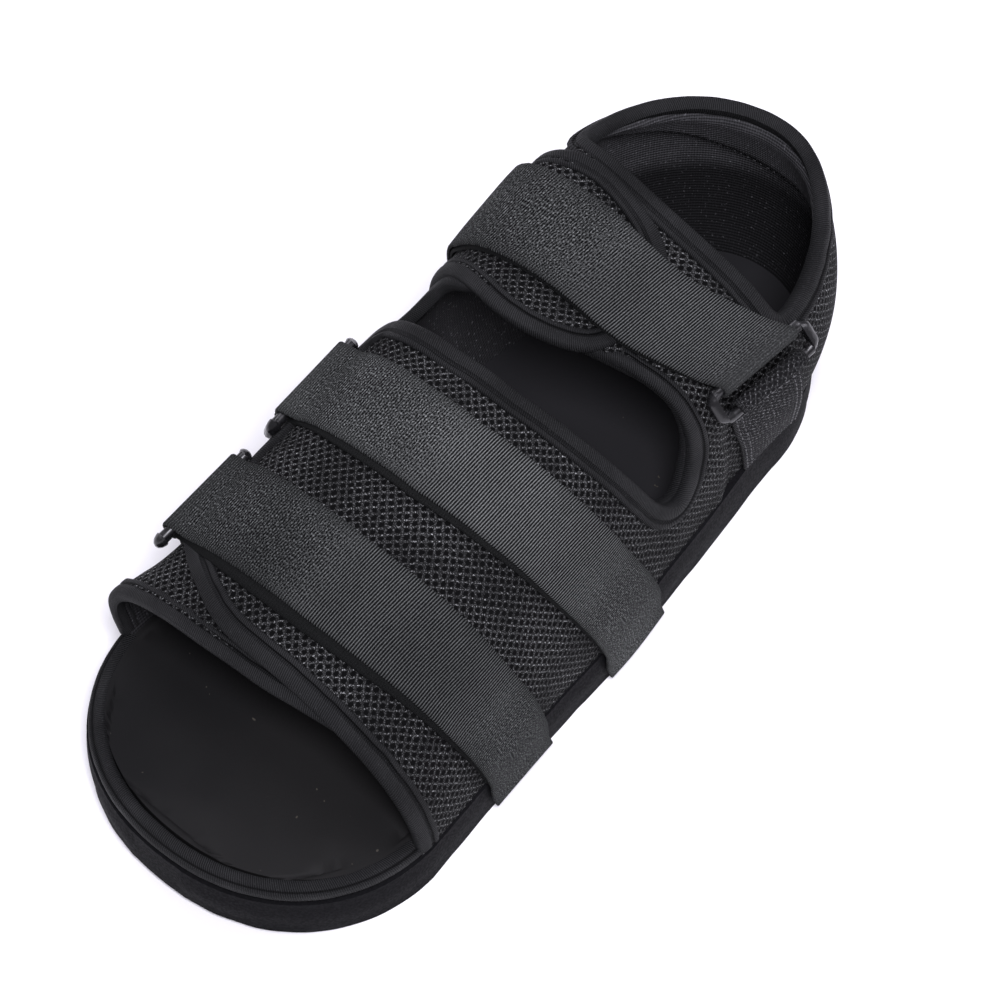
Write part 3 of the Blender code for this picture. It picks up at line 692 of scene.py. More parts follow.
def cloth(name, outer, inner, flat, keep=None):
    """A closed sheet between two grids of points, less the cells that keep refuses."""
    bm = bmesh.new()
    layout = bm.loops.layers.uv.new("cloth")
    skins = (outer, inner)
    made = {}

    def corner(key):
        if key not in made:
            made[key] = bm.verts.new(skins[key[0]][key[1]][key[2]])
        return made[key]

    def face(*keys):
        new = bm.faces.new([corner(key) for key in keys])
        for loop, key in zip(new.loops, keys):
            loop[layout].uv = flat[key[1]][key[2]]

    cells = [(i, j) for i in range(len(outer) - 1) for j in range(len(outer[0]) - 1)]
    kept = {cell for cell in cells if keep is None or keep(*cell)}
    for i, j in cells:
        if (i, j) not in kept:
            continue
        face((0, i, j), (0, i + 1, j), (0, i + 1, j + 1), (0, i, j + 1))
        face((1, i, j), (1, i, j + 1), (1, i + 1, j + 1), (1, i + 1, j))
        edges = (
            ((i - 1, j), (i, j), (i, j + 1)),
            ((i, j + 1), (i, j + 1), (i + 1, j + 1)),
            ((i + 1, j), (i + 1, j + 1), (i + 1, j)),
            ((i, j - 1), (i + 1, j), (i, j)),
        )
        for beside, a, b in edges:
            if beside not in kept:
                face((0, *a), (0, *b), (1, *b), (1, *a))
    return named(name, bm)


def flat_layout(points):
    """Distance round each row and place along the rows, both in metres."""
    return [[(run, point.y) for run, point in zip(lengths(row), row)] for row in points]


# %% [markdown]
# Edges are bound with a tape folded over them. The path of an edge is sampled
# on the surface, its corners are rounded, and at each point three directions
# are kept: along the edge, inwards over the cloth, and outwards from the shoe.

# %% Paths and binding helpers
BINDING_WIDTH = 0.0070
BINDING_TAPE = 0.0006
SEWING_PITCH = 0.0042
FRAME_STEP = 0.0016


def trail(stations, place, closed=False, rounds=9):
    """Evenly spaced points with their directions inwards and outwards."""
    ends = stations + stations[:1] if closed else stations
    dense = []
    for a, b in zip(ends, ends[1:]):
        for i in range(16):
            dense.append((mix(a[0], b[0], i / 16.0), mix(a[1], b[1], i / 16.0)))
    if not closed:
        dense.append(ends[-1])
    points = []
    for s, t in dense:
        here = place(s, t)
        up = (place(s + 0.002, t) - place(s - 0.002, t)).cross(place(s, t + 0.4) - place(s, t - 0.4))
        points.append((here, up.normalized()))
    return even_trail(points, closed, FRAME_STEP, rounds)


def even_trail(points, closed, spacing, rounds):
    """Frames at even steps along a line of points and normals, its corners rounded."""
    line = points + points[:1] if closed else points
    run = lengths([point for point, _ in line])
    count = max(4, round(run[-1] / spacing))
    places = [run[-1] * i / count for i in range(count if closed else count + 1)]
    spots = []
    for j, t in places_on(run, places):
        spots.append([line[j][0].lerp(line[j + 1][0], t), line[j][1].lerp(line[j + 1][1], t)])
    last = len(spots)
    for _ in range(rounds):
        new = []
        for i, (p, n) in enumerate(spots):
            if not closed and i in (0, last - 1):
                new.append([p, n])
                continue
            a = spots[i - 1]
            b = spots[(i + 1) % last]
            new.append([p * 0.5 + (a[0] + b[0]) * 0.25, n * 0.5 + (a[1] + b[1]) * 0.25])
        spots = new
    frames = []
    for i, (p, n) in enumerate(spots):
        a = spots[i - 1][0] if closed or i else p
        b = spots[(i + 1) % last][0] if closed or i < last - 1 else p
        way = (b - a).normalized()
        inward = way.cross(n).normalized()
        frames.append((p, inward, inward.cross(way).normalized()))
    return frames


def sweep(name, frames, profile, closed):
    """A tube whose ring of points follows the frames; profile gives the ring."""
    bm = bmesh.new()
    layout = bm.loops.layers.uv.new("cloth")
    runs = lengths([p for p, _, _ in frames])
    rings = []
    for i, (p, inward, up) in enumerate(frames):
        rings.append([bm.verts.new(p + inward * b + up * n) for b, n in profile(runs[i], i)])
    around = [0.0]
    shape = profile(0.0, 0)
    for a, b in zip(shape, shape[1:] + shape[:1]):
        around.append(around[-1] + math.hypot(b[0] - a[0], b[1] - a[1]))
    count = len(frames)
    sides = len(shape)
    for i in range(count if closed else count - 1):
        j = (i + 1) % count
        end = runs[j] if j else runs[-1] + (frames[0][0] - frames[-1][0]).length
        for k in range(sides):
            m = (k + 1) % sides
            face = bm.faces.new((rings[i][k], rings[j][k], rings[j][m], rings[i][m]))
            start = runs[i]
            spots = ((start, around[k]), (end, around[k]), (end, around[k + 1]), (start, around[k + 1]))
            for loop, spot in zip(face.loops, spots):
                loop[layout].uv = spot
    if not closed:
        bm.faces.new(rings[0])
        bm.faces.new(rings[-1][::-1])
    bmesh.ops.recalc_face_normals(bm, faces=bm.faces)
    return named(name, bm)


def fold_profile(low, high, width, seed, narrow_from):
    """The section of a tape folded over a sheet's edge and sewn down along its middle."""
    middle = 0.5 * (low + high)
    half = 0.5 * (high - low)

    def at(run, i):
        ripple = noise.noise(Vector((run * 160.0, seed, 0.0)))
        pucker = 0.5 + 0.5 * math.sin(run * 2.0 * math.pi / SEWING_PITCH + 2.0 * ripple)
        wide = width * (1.0 + 0.07 * ripple)
        if narrow_from is not None:
            wide *= mix(1.0, 0.66, smooth(narrow_from, narrow_from + 14, i))
        crest = BINDING_TAPE + 0.00065 + 0.00022 * ripple
        sewn = BINDING_TAPE * 0.25 + 0.00010 * pucker
        top = (
            (1.00, 0.00012),
            (0.985, BINDING_TAPE * 0.9),
            (0.92, BINDING_TAPE + 0.00035 * (1.0 + ripple)),
            (0.82, BINDING_TAPE + 0.00050),
            (0.72, BINDING_TAPE + 0.00030),
            (0.66, sewn + 0.00010),
            (0.62, sewn),
            (0.58, sewn + 0.00012),
            (0.50, crest * 0.86),
            (0.30, crest),
            (0.12, crest * 0.96),
            (0.00, crest * 0.80),
        )
        ring = [(wide * b, half + n) for b, n in top]
        tall = half + crest * 0.80
        for k in range(1, 6):
            angle = math.radians(30.0 * k)
            ring.append((-0.0011 * math.sin(angle), tall * math.cos(angle)))
        for b, n in reversed(top[2:]):
            ring.append((wide * b * 0.92, -half - n * 0.7))
        ring.append((wide * 0.90, -half - 0.0001))
        return [(b, n + middle) for b, n in ring]

    return at


def bind(name, frames, low, high, width, seed, closed=False, narrow_from=None):
    """Folds binding tape over an edge whose cloth lies between two offsets."""
    tape = sweep(name, frames, fold_profile(low, high, width, seed, narrow_from), closed)
    settle(tape, BINDING, "binding_tape")


print("binding", BINDING_WIDTH * 1000, "mm wide")

# %% [markdown]
# ## The foam sole
# The sole is cut from a thick foam sheet, so its side is upright and plain. A
# circle of points is moved to the plan, pulled up in steps as with the extrude
# tool, and its rims are bevelled. The toe and heel are lifted at the end, by
# moving every point by the height that its place along the shoe calls for.

# %% Sole
def pour(name, setback, tall, steps, rim, insets):
    """A slab with the sole's plan, made from a circle by extruding and insetting."""
    spots = plan(setback, PLAN_POINTS)
    bpy.ops.object.select_all(action="DESELECT")
    bpy.ops.mesh.primitive_circle_add(vertices=len(spots), radius=0.1, fill_type="NGON")
    slab = bpy.context.object
    slab.name = name
    for vert, (x, y) in zip(slab.data.vertices, spots):
        vert.co = (x, y, 0.0)
    bpy.ops.object.mode_set(mode="EDIT")
    bpy.ops.mesh.select_all(action="SELECT")
    for _ in range(steps):
        move = {"value": (0.0, 0.0, tall / steps)}
        bpy.ops.mesh.extrude_region_move(TRANSFORM_OT_translate=move)
    bm = bmesh.from_edit_mesh(slab.data)
    for edge in bm.edges:
        flat = abs(edge.verts[0].co.z - edge.verts[1].co.z) < 1e-6
        level = edge.verts[0].co.z
        edge.select_set(flat and (level < 1e-6 or level > tall - 1e-6) and len(edge.link_faces) == 2)
    bm.select_flush_mode()
    bpy.ops.mesh.bevel(offset=rim, segments=3, affect="EDGES")
    for side in (1, -1):
        for k, thickness in enumerate(insets):
            bm = bmesh.from_edit_mesh(slab.data)
            bpy.ops.mesh.select_all(action="DESELECT")
            wanted = max((f for f in bm.faces if f.normal.z * side > 0.9), key=lambda f: len(f.verts))
            wanted.select_set(True)
            bm.faces.active = wanted
            bmesh.update_edit_mesh(slab.data)
            bpy.ops.mesh.inset(thickness=thickness, use_even_offset=True)
    bpy.ops.mesh.select_all(action="SELECT")
    bpy.ops.mesh.quads_convert_to_tris(quad_method="FIXED", ngon_method="BEAUTY")
    bpy.ops.object.mode_set(mode="OBJECT")
    return slab


sole = pour("sole_body", lambda y: 0.0004, SOLE_HEIGHT, 8, 0.0014, (0.004, 0.008, 0.009, 0.010))
for vert in sole.data.vertices:
    x, y, z = vert.co
    part = z / SOLE_HEIGHT
    spot = Vector((x * 30.0, y * 30.0, z * 60.0))
    side = smooth(0.15, 0.5, part) * smooth(1.0, 0.6, part)
    worn = 0.0003 * noise.noise(spot * 4.0) * smooth(0.35, 0.0, part)
    swell = 0.0007 * side + 0.00035 * noise.noise(spot) + worn
    flat = Vector((x, y - along(0.45), 0.0)).normalized()
    if abs(x) > half_width(share_at(y)) - 0.003:
        x += flat.x * swell
        y += flat.y * swell
    heel = max(0.0, y - along(0.95)) / (along(1.0) - along(0.95))
    low = toe_lift(y) + 0.002 * heel * heel
    vert.co = (x, y, mix(low, sole_top(y), part))
settle(sole, SOLE, "sole_foam", "sole")

# %% [markdown]
# ## The insole
# The insole is a thinner sheet of smooth foam. Near its edge a shallow groove
# is pressed in, which shows in the photo as a dark line beside a narrow rib.

# %% Insole
UPPER_WALL = 0.0024
FOOTBED_THICKNESS = 0.0048
RIM_WIDTH = 0.0062
FRONT_EDGE = 0.170
SIDE_SETBACK = 0.0038


def insole_setback(y):
    inside = SIDE_SETBACK + UPPER_WALL - 0.0009
    part = smooth(FRONT_EDGE - 0.03, FRONT_EDGE + 0.02, share_at(y))
    return mix(RIM_WIDTH + 0.0013, inside, part)


insole_rings = (0.0006, 0.0008, 0.0005, 0.0008, 0.004, 0.008, 0.008)
bed = pour("footbed_sheet", insole_setback, FOOTBED_THICKNESS, 2, 0.0011, insole_rings)
for vert in bed.data.vertices:
    x, y, z = vert.co
    edge = half_width(share_at(y)) - insole_setback(y) - abs(x)
    deep = y - along(0.0) - insole_setback(along(0.0))
    inset = min(edge, deep) if share_at(y) < TOE_SHARE else edge
    top = z / FOOTBED_THICKNESS
    uneven = 0.6 + 0.4 * noise.noise(Vector((x * 18.0, y * 18.0, 3.0)))
    dish = 0.0006 * smooth(0.012, 0.026, inset) * uneven
    pressed = smooth(FRONT_EDGE + 0.05, FRONT_EDGE, share_at(y))
    dish += 0.0010 * pressed * math.exp(-(((inset - 0.0027) / 0.0006) ** 2))
    row = look_up(SECTIONS, min(share_at(y), HEEL_SHARE))
    spare = SIDE_SETBACK - (row[7] if x > 0.0 else row[8])
    half = half_width(min(share_at(y), HEEL_SHARE))
    behind = max(0.0, y - along(HEEL_SHARE)) / (along(1.0) - along(HEEL_SHARE))
    reach = smooth(0.5, 1.0, abs(x) / half)
    if behind > 0.0:
        reach = smooth(0.3, 0.9, math.hypot(x / half, behind))
    vert.co.x += math.copysign(max(0.0, spare) * reach * (1.0 - behind), x)
    vert.co.y += 0.0028 * reach * behind
    vert.co.z = sole_top(y) + GAP + z - dish * top
settle(bed, INSOLE, "footbed_foam", "footbed")

# %% [markdown]
# ## The toe binding
# Round the toe the top of the sole is finished with a roll of ribbed tape. It
# is swept along the plan of the toe with a rounded square section, fuller on
# the inside, where it rolls down into the dark groove beside the insole.

# %% Toe binding
RIM_HEIGHT = 0.0052


def toe_stop(share):
    """Angle round the toe at which the binding reaches a share of the length."""
    return math.acos(((TOE_SHARE - share) / TOE_SHARE) ** (TOE_POWER / 2.0))


def toe_frames(count=150):
    ball = along(TOE_SHARE)
    pull = 0.0008 + 0.5 * RIM_WIDTH
    points = []
    for i in range(count + 1):
        angle = mix(-toe_stop(0.166), toe_stop(0.192), i / count)
        s = math.copysign(abs(math.sin(angle)) ** (2.0 / TOE_POWER), angle)
        c = math.cos(angle) ** (2.0 / TOE_POWER)
        x = (half_width(TOE_SHARE) - pull) * s
        y = ball - (ball - along(0.0) - pull) * c
        points.append((Vector((x, y, sole_top(y) + GAP + 0.5 * RIM_HEIGHT)), Vector((0.0, 0.0, 1.0))))
    return even_trail(points, False, 0.0014, 2)


def rim_profile(run, i):
    ripple = noise.noise(Vector((run * 110.0, 7.0, 0.0)))
    fine = noise.noise(Vector((run * 420.0, 2.0, 0.0)))
    ring = []
    for k in range(18):
        angle = math.radians(20.0 * k)
        across = math.copysign(abs(math.cos(angle)) ** 0.78, math.cos(angle))
        lift = math.copysign(abs(math.sin(angle)) ** 0.78, math.sin(angle))
        swell = 1.0 + 0.035 * ripple + 0.02 * fine
        dent = 0.0007 * math.exp(-(((across - 0.55) / 0.16) ** 2)) if lift > 0.0 else 0.0
        ring.append((0.5 * RIM_WIDTH * across * swell, 0.5 * RIM_HEIGHT * lift * swell - dent))
    return ring


toe_roll = sweep("toe_binding", toe_frames(), rim_profile, False)
settle(toe_roll, BINDING, "binding_tape", "toe_rim")

# %% [markdown]
# ## The upper
# The body of the upper is a mesh outside and a lining inside. The window over
# the instep is cut from both by leaving out the cells inside its outline, and
# the rough edge disappears under the binding.

# %% The window's outline
# Share of the length and turn, from the inner side along the front edge, round
# the outer end and back along the rear edge
WINDOW = (
    (0.562, 145.5),
    (0.553, 136.0),
    (0.553, 120.0),
    (0.556, 101.0),
    (0.562, 84.8),
    (0.578, 63.0),
    (0.598, 43.0),
    (0.620, 27.3),
    (0.652, 19.5),
    (0.680, 30.0),
    (0.690, 47.0),
    (0.688, 60.0),
    (0.676, 76.3),
    (0.655, 90.0),
    (0.641, 97.0),
    (0.631, 118.0),
    (0.627, 136.0),
    (0.617, 148.0),
    (0.590, 147.5),
)


def rounded_line(stations, closed, steps=8):
    """A smooth line of stations through the given ones."""
    count = len(stations)
    line = []
    for i in range(count if closed else count - 1):
        four = []
        for k in range(i - 1, i + 3):
            four.append(stations[k % count] if closed else stations[min(max(k, 0), count - 1)])
        for j in range(steps):
            t = j / steps
            weights = (
                -0.5 * t + t**2 - 0.5 * t**3,
                1.0 - 2.5 * t**2 + 1.5 * t**3,
                0.5 * t + 2.0 * t**2 - 1.5 * t**3,
                -0.5 * t**2 + 0.5 * t**3,
            )
            line.append(tuple(sum(w * p[c] for w, p in zip(weights, four)) for c in (0, 1)))
    return line if closed else line + [stations[-1]]


WINDOW_LINE = rounded_line(WINDOW, True)


def inside_line(line, share, angle):
    """True inside an outline, taken as a polygon in share and turn."""
    found = False
    for (sa, ta), (sb, tb) in zip(line, line[1:] + line[:1]):
        if (ta > angle) != (tb > angle):
            found ^= share < sa + (angle - ta) / (tb - ta) * (sb - sa)
    return found


def whole_cells(shares, turns, wanted):
    """Keeps the cells of a grid whose four corners are all wanted."""
    good = [[wanted(share, t) for share, t in zip(line, turns)] for line in shares]

    def keep(i, j):
        return good[i][j] and good[i + 1][j] and good[i][j + 1] and good[i + 1][j + 1]

    return keep


print("window outline of", len(WINDOW_LINE), "stations")

# %% [markdown]
# Mesh and lining are laid as two sheets of the same cloth, one straight over
# the other. Their rows start at the curved front edge of the upper.

# %% Upper mesh and lining
def sheet(name, shares, turns, offsets, keep):
    """A sheet over the upper; offsets gives the heights of its two faces for a row."""
    outer = []
    inner = []
    for line in shares:
        high, low = offsets(line)
        outer.append([on_upper(s, t, high) for s, t in zip(line, turns)])
        inner.append([on_upper(s, t, low) for s, t in zip(line, turns)])
    return cloth(name, outer, inner, flat_layout(outer), whole_cells(shares, turns, keep))


def upper_shares(rows, turns):
    """Rows that start at the curved front edge and straighten out behind it."""
    shares = []
    for i in range(rows + 1):
        share = mix(FRONT_EDGE, HEEL_SHARE, i / rows)
        pull = 1.0 - smooth(FRONT_EDGE, FRONT_EDGE + 0.1, share)
        shares.append([share + pull * (front_edge(t) - FRONT_EDGE) for t in turns])
    return shares


def off_window(share, angle):
    return not inside_line(WINDOW_LINE, share, angle)


MESH_SKIN = 0.0013
SKIN_GAP = 0.0001
turns = even_turns(0.0, 180.0, 130)
skin_faces = (0.0, -MESH_SKIN)
upper_mesh = sheet("upper_mesh", upper_shares(120, turns), turns, lambda line: skin_faces, off_window)
settle(upper_mesh, MESH, "mesh_fabric", "upper")
turns = even_turns(0.0, 180.0, 90)
lining_faces = (-MESH_SKIN - SKIN_GAP, -UPPER_WALL)
upper_lining = sheet("upper_lining", upper_shares(90, turns), turns, lambda line: lining_faces, off_window)
settle(upper_lining, LINING, "mesh_fabric")

# %% [markdown]
# ## The heel and its padded collar
# The heel wall carries on from the last arch. Its lining is a pad that swells
# towards the opening, so the foot meets a soft roll, and thins again where the
# binding grips the edge.

# %% Heel wall and collar pad
def heel_grid(offset_at, columns=96, rows=44):
    grid = []
    for i in range(columns + 1):
        angle = 180.0 * i / columns
        grid.append([on_heel(angle, k / rows, offset_at(k / rows, angle)) for k in range(rows + 1)])
    return grid


def heel_layout(grid):
    middle = len(grid[0]) // 2
    rounds = [along(HEEL_SHARE) + run for run in lengths([line[middle] for line in grid])]
    return [[(rise, start) for rise in lengths(line)] for line, start in zip(grid, rounds)]


SEAM_PART = 0.61


def pad_swell(part, angle):
    ends = 0.35 + 0.65 * smooth(0.0, 30.0, angle) * smooth(180.0, 150.0, angle)
    ripple = 1.0 + 0.12 * noise.noise(Vector((angle * 0.05, part * 3.0, 5.0)))
    roll = 0.0034 * smooth(SEAM_PART - 0.01, SEAM_PART + 0.10, part) * smooth(1.0, 0.88, part)
    return -UPPER_WALL - roll * ripple * ends - 0.0003 * smooth(0.1, 0.3, part)


heel_outer = heel_grid(lambda part, angle: 0.0)
heel_inner = heel_grid(lambda part, angle: -MESH_SKIN)
heel_mesh = cloth("heel_mesh", heel_outer, heel_inner, heel_layout(heel_outer))
settle(heel_mesh, MESH, "mesh_fabric")
pad_outer = heel_grid(lambda part, angle: -MESH_SKIN - SKIN_GAP)
pad_inner = heel_grid(pad_swell)
collar_pad = cloth("collar_pad", pad_outer, pad_inner, heel_layout(pad_inner))
settle(collar_pad, PAD, "mesh_fabric")

# %% [markdown]
# ## The flaps
# The outer flap of the forefoot is one panel that also forms the outer side of
# the shoe below the window. The ankle flap crosses from the inner side. Both
# lie just over the upper, and both follow the same troughs.

# %% Flap panels
FLAP_WALL = 0.0020
FLAP_GAP = 0.0006
FLAP_FRONT = 0.186
FLAP_REACH = 0.742
ANKLE_FLAP_FRONT = 0.622
ANKLE_FLAP_BACK = 0.822
THIN_FROM = 0.722
VAMP_ROWS = 110
ANKLE_ROWS = 56


def vamp_place(share, angle):
    """The flap's front edge is straight, and turns back at its inner corner."""
    edge = 0.185 + 0.034 * smooth(95.0, 125.0, angle) + 0.030 * smooth(120.0, 145.0, angle)
    return share + (edge - FLAP_FRONT) * (1.0 - smooth(FLAP_FRONT, FLAP_FRONT + 0.14, share))


# Outline of the ankle flap: its front edge from the inner foot, as share and turn,
# its outer end on the crest, as share and millimetres outwards, and its rear edge
ANKLE_FRONT = ((0.640, 179.0), (0.637, 160.0), (0.638, 144.0), (0.634, 124.5), (0.6255, 108.0))
ANKLE_END = (
    (0.6215, -24.0),
    (0.6235, -17.0),
    (0.6280, -11.0),
    (0.6350, -5.5),
    (0.6435, 0.0),
    (0.6560, 4.8),
    (0.6700, 7.4),
    (0.6850, 8.6),
    (0.7150, 9.4),
    (0.7450, 9.0),
    (0.7700, 7.0),
    (0.7860, 3.5),
    (0.7960, -2.0),
    (0.8030, -9.0),
    (0.8080, -18.0),
    (0.8105, -27.0),
)
ANKLE_REAR = ((0.808, 108.0), (0.802, 120.0), (0.793, 142.0), (0.790, 160.0), (0.790, 179.0))


def turn_at(share, x):
    """The turn at which the upper stands a distance out from its middle."""
    low = 60.0
    high = 130.0
    for _ in range(40):
        middle = 0.5 * (low + high)
        if on_upper(share, middle, 0.0, False).x > x:
            low = middle
        else:
            high = middle
    return low


def flap_faces(line):
    return FLAP_GAP + FLAP_WALL, FLAP_GAP


def thinning_faces(line):
    """The outer panel lies down on the upper at its rear end."""
    thin = smooth(THIN_FROM, THIN_FROM + 0.02, line[0])
    return mix(FLAP_GAP + FLAP_WALL, 0.0007, thin), mix(FLAP_GAP, SKIN_GAP, thin)


ANKLE_LINE = rounded_line(ANKLE_FRONT, False)
for share, out in rounded_line(ANKLE_END, False):
    ANKLE_LINE.append((share, turn_at(share, 0.001 * out)))
ANKLE_LINE += rounded_line(ANKLE_REAR, False)


def vamp_keep(share, angle):
    behind = share > 0.612 and angle > 86.0
    return not behind and off_window(share, angle)


def ankle_keep(share, angle):
    return inside_line([(0.640, 182.0)] + ANKLE_LINE + [(0.790, 182.0)], share, angle)


turns = even_turns(0.0, 145.0, 120)
starts = [mix(FLAP_FRONT, FLAP_REACH, i / VAMP_ROWS) for i in range(VAMP_ROWS + 1)]
shares = [[vamp_place(start, t) for t in turns] for start in starts]
settle(sheet("vamp_panel", shares, turns, thinning_faces, vamp_keep), MESH, "mesh_fabric", "vamp_flap")
turns = even_turns(84.0, 180.0, 90, 0.72)
starts = [mix(ANKLE_FLAP_FRONT, ANKLE_FLAP_BACK, i / ANKLE_ROWS) for i in range(ANKLE_ROWS + 1)]
shares = [[start] * len(turns) for start in starts]
settle(sheet("ankle_panel", shares, turns, flap_faces, ankle_keep), MESH, "mesh_fabric", "ankle_flap")

# %% [markdown]
# ## The bindings
# Every raw edge of the mesh is bound: the front edge, the edge of each flap,
# the window and the opening at the heel. They are separate lengths of tape on
# the real shoe, and separate pieces here.

# %% Front, window and flap bindings
def vamp_lie(share, angle):
    """The flap's edge sinks where it passes under the ankle flap."""
    dive = smooth(76.0, 89.0, angle) * smooth(0.630, 0.645, share)
    return on_upper(share, angle, -0.0022 * dive)


low = FLAP_GAP
high = FLAP_GAP + FLAP_WALL
vamp_edge = [(vamp_place(FLAP_FRONT, t), t) for t in even_turns(3.0, 143.0, 22, 0.25)]
vamp_edge += [(vamp_place(s, 144.5), 144.5) for s in (0.25, 0.32, 0.40, 0.48, 0.53)]
vamp_edge += rounded_line(WINDOW[1:14], False)

front_path = trail([(front_edge(t), t) for t in even_turns(3.0, 178.0, 24, 0.2)], on_upper)
window_path = trail(WINDOW_LINE, on_upper, closed=True, rounds=4)
vamp_path = trail(vamp_edge, vamp_lie, rounds=6)
ankle_path = trail(ANKLE_LINE[::-1], on_upper, rounds=12)
rear_start = min(range(len(vamp_path)), key=lambda i: (vamp_path[i][0] - on_upper(0.676, 27.0)).length)

bind("front_binding", front_path, -UPPER_WALL, 0.0, 0.0058, 2.0)
bind("window_binding", window_path, -UPPER_WALL, 0.0, 0.0054, 3.0, closed=True)
bind("vamp_binding", vamp_path, low, high, BINDING_WIDTH, 4.0, narrow_from=rear_start)
bind("ankle_binding", ankle_path, low, high, 0.0060, 5.0)

# %% [markdown]
# The tape of the collar leaves the table of sections: its first half follows
# the heel wall, and its second half crosses the roof in front of the opening.

# %% Collar tape
def collar_spots():
    """Points and outward directions round the opening at the heel."""
    spots = []
    for i in range(49):
        angle = 180.0 * i / 48.0
        here = on_heel(angle, 1.0)
        way = on_heel(min(180.0, angle + 1.0), 0.96) - on_heel(max(0.0, angle - 1.0), 0.96)
        up = here - on_heel(angle, 0.93)
        spots.append((here, way.cross(up).normalized()))
    for t in reversed(even_turns(52.0, 128.0, 30, 0.82)):
        here = on_upper(HEEL_SHARE, t)
        way = on_upper(HEEL_SHARE, t + 0.5) - on_upper(HEEL_SHARE, t - 0.5)
        up = (here - on_upper(HEEL_SHARE - 0.02, t)).cross(way)
        spots.append((here, up.normalized()))
    return spots


collar_path = even_trail(collar_spots(), True, FRAME_STEP, 14)
bind("collar_binding", collar_path, -UPPER_WALL - 0.0006, 0.0, 0.0068, 6.0, closed=True)

# %% [markdown]
# ## Straps, rings and tabs
# Each strap runs over the shoe, round the bar of its ring and back under
# itself, so it shows two layers along its edges. The ring hangs in a tab that
# is sewn to the side. The path of a strap is worked out in its upright planes,
# one for each place across its width, and the tape is laid along it.

# %% Strap paths
STRAP_WIDTH = 0.030
STRAP_THICKNESS = 0.0011
STRAP_GAP = 0.0006
RING_BAR = 0.0036
RING_HANG = 15.0
ROUTE_STOPS = 64
RING_STEPS = 16
RING_CLEAR = 9.0
FOOT_DROPS = (0.0035, 0.0065, 0.0100)
FOOT_TOP = 0.0135
FOOT_REACH = 0.014
# Name, angle of the ring on the section, side of the ring, shares of the length
# at the ring, the crest, the far shoulder and the far end, slip of the lower layer
STRAPS = (
    ("front", 141.0, -1, 0.283, 0.283, 0.305, 0.340, 0.010),
    ("middle", 139.0, -1, 0.446, 0.450, 0.486, 0.542, 0.006),
    ("ankle", 48.0, 1, 0.780, 0.728, 0.714, 0.735, 0.002),
)
UNDER = FLAP_GAP + FLAP_WALL + STRAP_GAP + 0.5 * STRAP_THICKNESS
OVER = UNDER + STRAP_THICKNESS + GAP
WRAP = 0.5 * RING_BAR + GAP + 0.5 * STRAP_THICKNESS


def ring_place(share, angle, side):
    """Centre of a ring's upper bar and its outward, downhill and lengthwise ways."""
    here = on_upper(share, angle, 0.0, False)
    normal = (on_upper(share, angle, 0.01, False) - here).normalized()
    tangent = Vector((-normal.z, 0.0, normal.x))
    if tangent.z > 0.0:
        tangent = -tangent
    ahead = on_upper(share + 0.05, angle, 0.0, False)
    behind = on_upper(share - 0.05, angle, 0.0, False)
    long_way = (ahead - behind).normalized()
    return on_upper(share, angle, UNDER + WRAP, False), normal, tangent, long_way


def hang(row):
    """Centre of a ring's upper bar and the ways of the ring, which hangs a little steeper."""
    ring_turn, side, at_ring = row[1:4]
    bar, normal, tangent, long_way = ring_place(at_ring, ring_turn, side)
    if side < 0:
        angle = math.radians(RING_HANG)
        down = tangent * math.cos(angle) - normal * math.sin(angle)
        normal = normal * math.cos(angle) + tangent * math.sin(angle)
        tangent = down
    short_way = (tangent - long_way * tangent.dot(long_way)).normalized()
    return bar, normal, short_way, long_way


def route(row, slip):
    """Shares of the length at four turns, for a layer that slips towards the toe."""
    ring_turn, side, at_ring, at_crest, at_shoulder, at_end = row[1:7]
    slipped = at_shoulder - 0.5 * slip
    if side < 0:
        return ((0.0, at_end), (45.0, slipped), (95.0, at_crest - slip), (ring_turn, at_ring))
    return ((ring_turn, at_ring), (90.0, at_crest), (135.0, slipped), (180.0, at_end))


def strap_path(row, across, wave):
    """From the sewn end over the shoe, round the ring's bar and back underneath."""
    ring_turn, side, at_ring = row[1:4]
    bar, normal, tangent, long_way = ring_place(at_ring, ring_turn, side)
    if side < 0:
        stops = even_turns(0.0, ring_turn - RING_CLEAR, ROUTE_STOPS, at_ring)
    else:
        stops = even_turns(ring_turn + RING_CLEAR, 180.0, ROUTE_STOPS, at_ring)[::-1]
    shift = across * STRAP_WIDTH * long_way.y / LENGTH
    top = [(look_up(route(row, 0.0), t)[1] + shift, t) for t in stops]
    bottom = [(look_up(route(row, row[7]), t)[1] + shift, t) for t in stops]
    wrapped = bar + long_way * (across * STRAP_WIDTH)
    far = top[0][0]
    x_edge = (half_width(far) + GAP + 0.5 * STRAP_THICKNESS + 0.0004) * -side
    path = []
    for drop in FOOT_DROPS:
        path.append(Vector((x_edge, along(far + FOOT_REACH * (1.0 - drop / FOOT_TOP)), drop)))
    for share, t in top:
        path.append(on_upper(share, t, OVER + wave(t)))
    for i in range(RING_STEPS + 1):
        angle = math.radians(-20.0 + 220.0 * i / RING_STEPS)
        path.append(wrapped + WRAP * (math.cos(angle) * normal + math.sin(angle) * tangent))
    for share, t in reversed(bottom[1:]):
        path.append(on_upper(share, t, UNDER))
    return path


THIN_EDGE = 0.62


def turn_outwards(piece, merge=0.0):
    """Joins points that are closer than merge and turns all faces outwards."""
    fix = bmesh.new()
    fix.from_mesh(piece.data)
    if merge:
        bmesh.ops.remove_doubles(fix, verts=fix.verts, dist=merge)
    bmesh.ops.recalc_face_normals(fix, faces=fix.faces)
    fix.to_mesh(piece.data)
    fix.free()


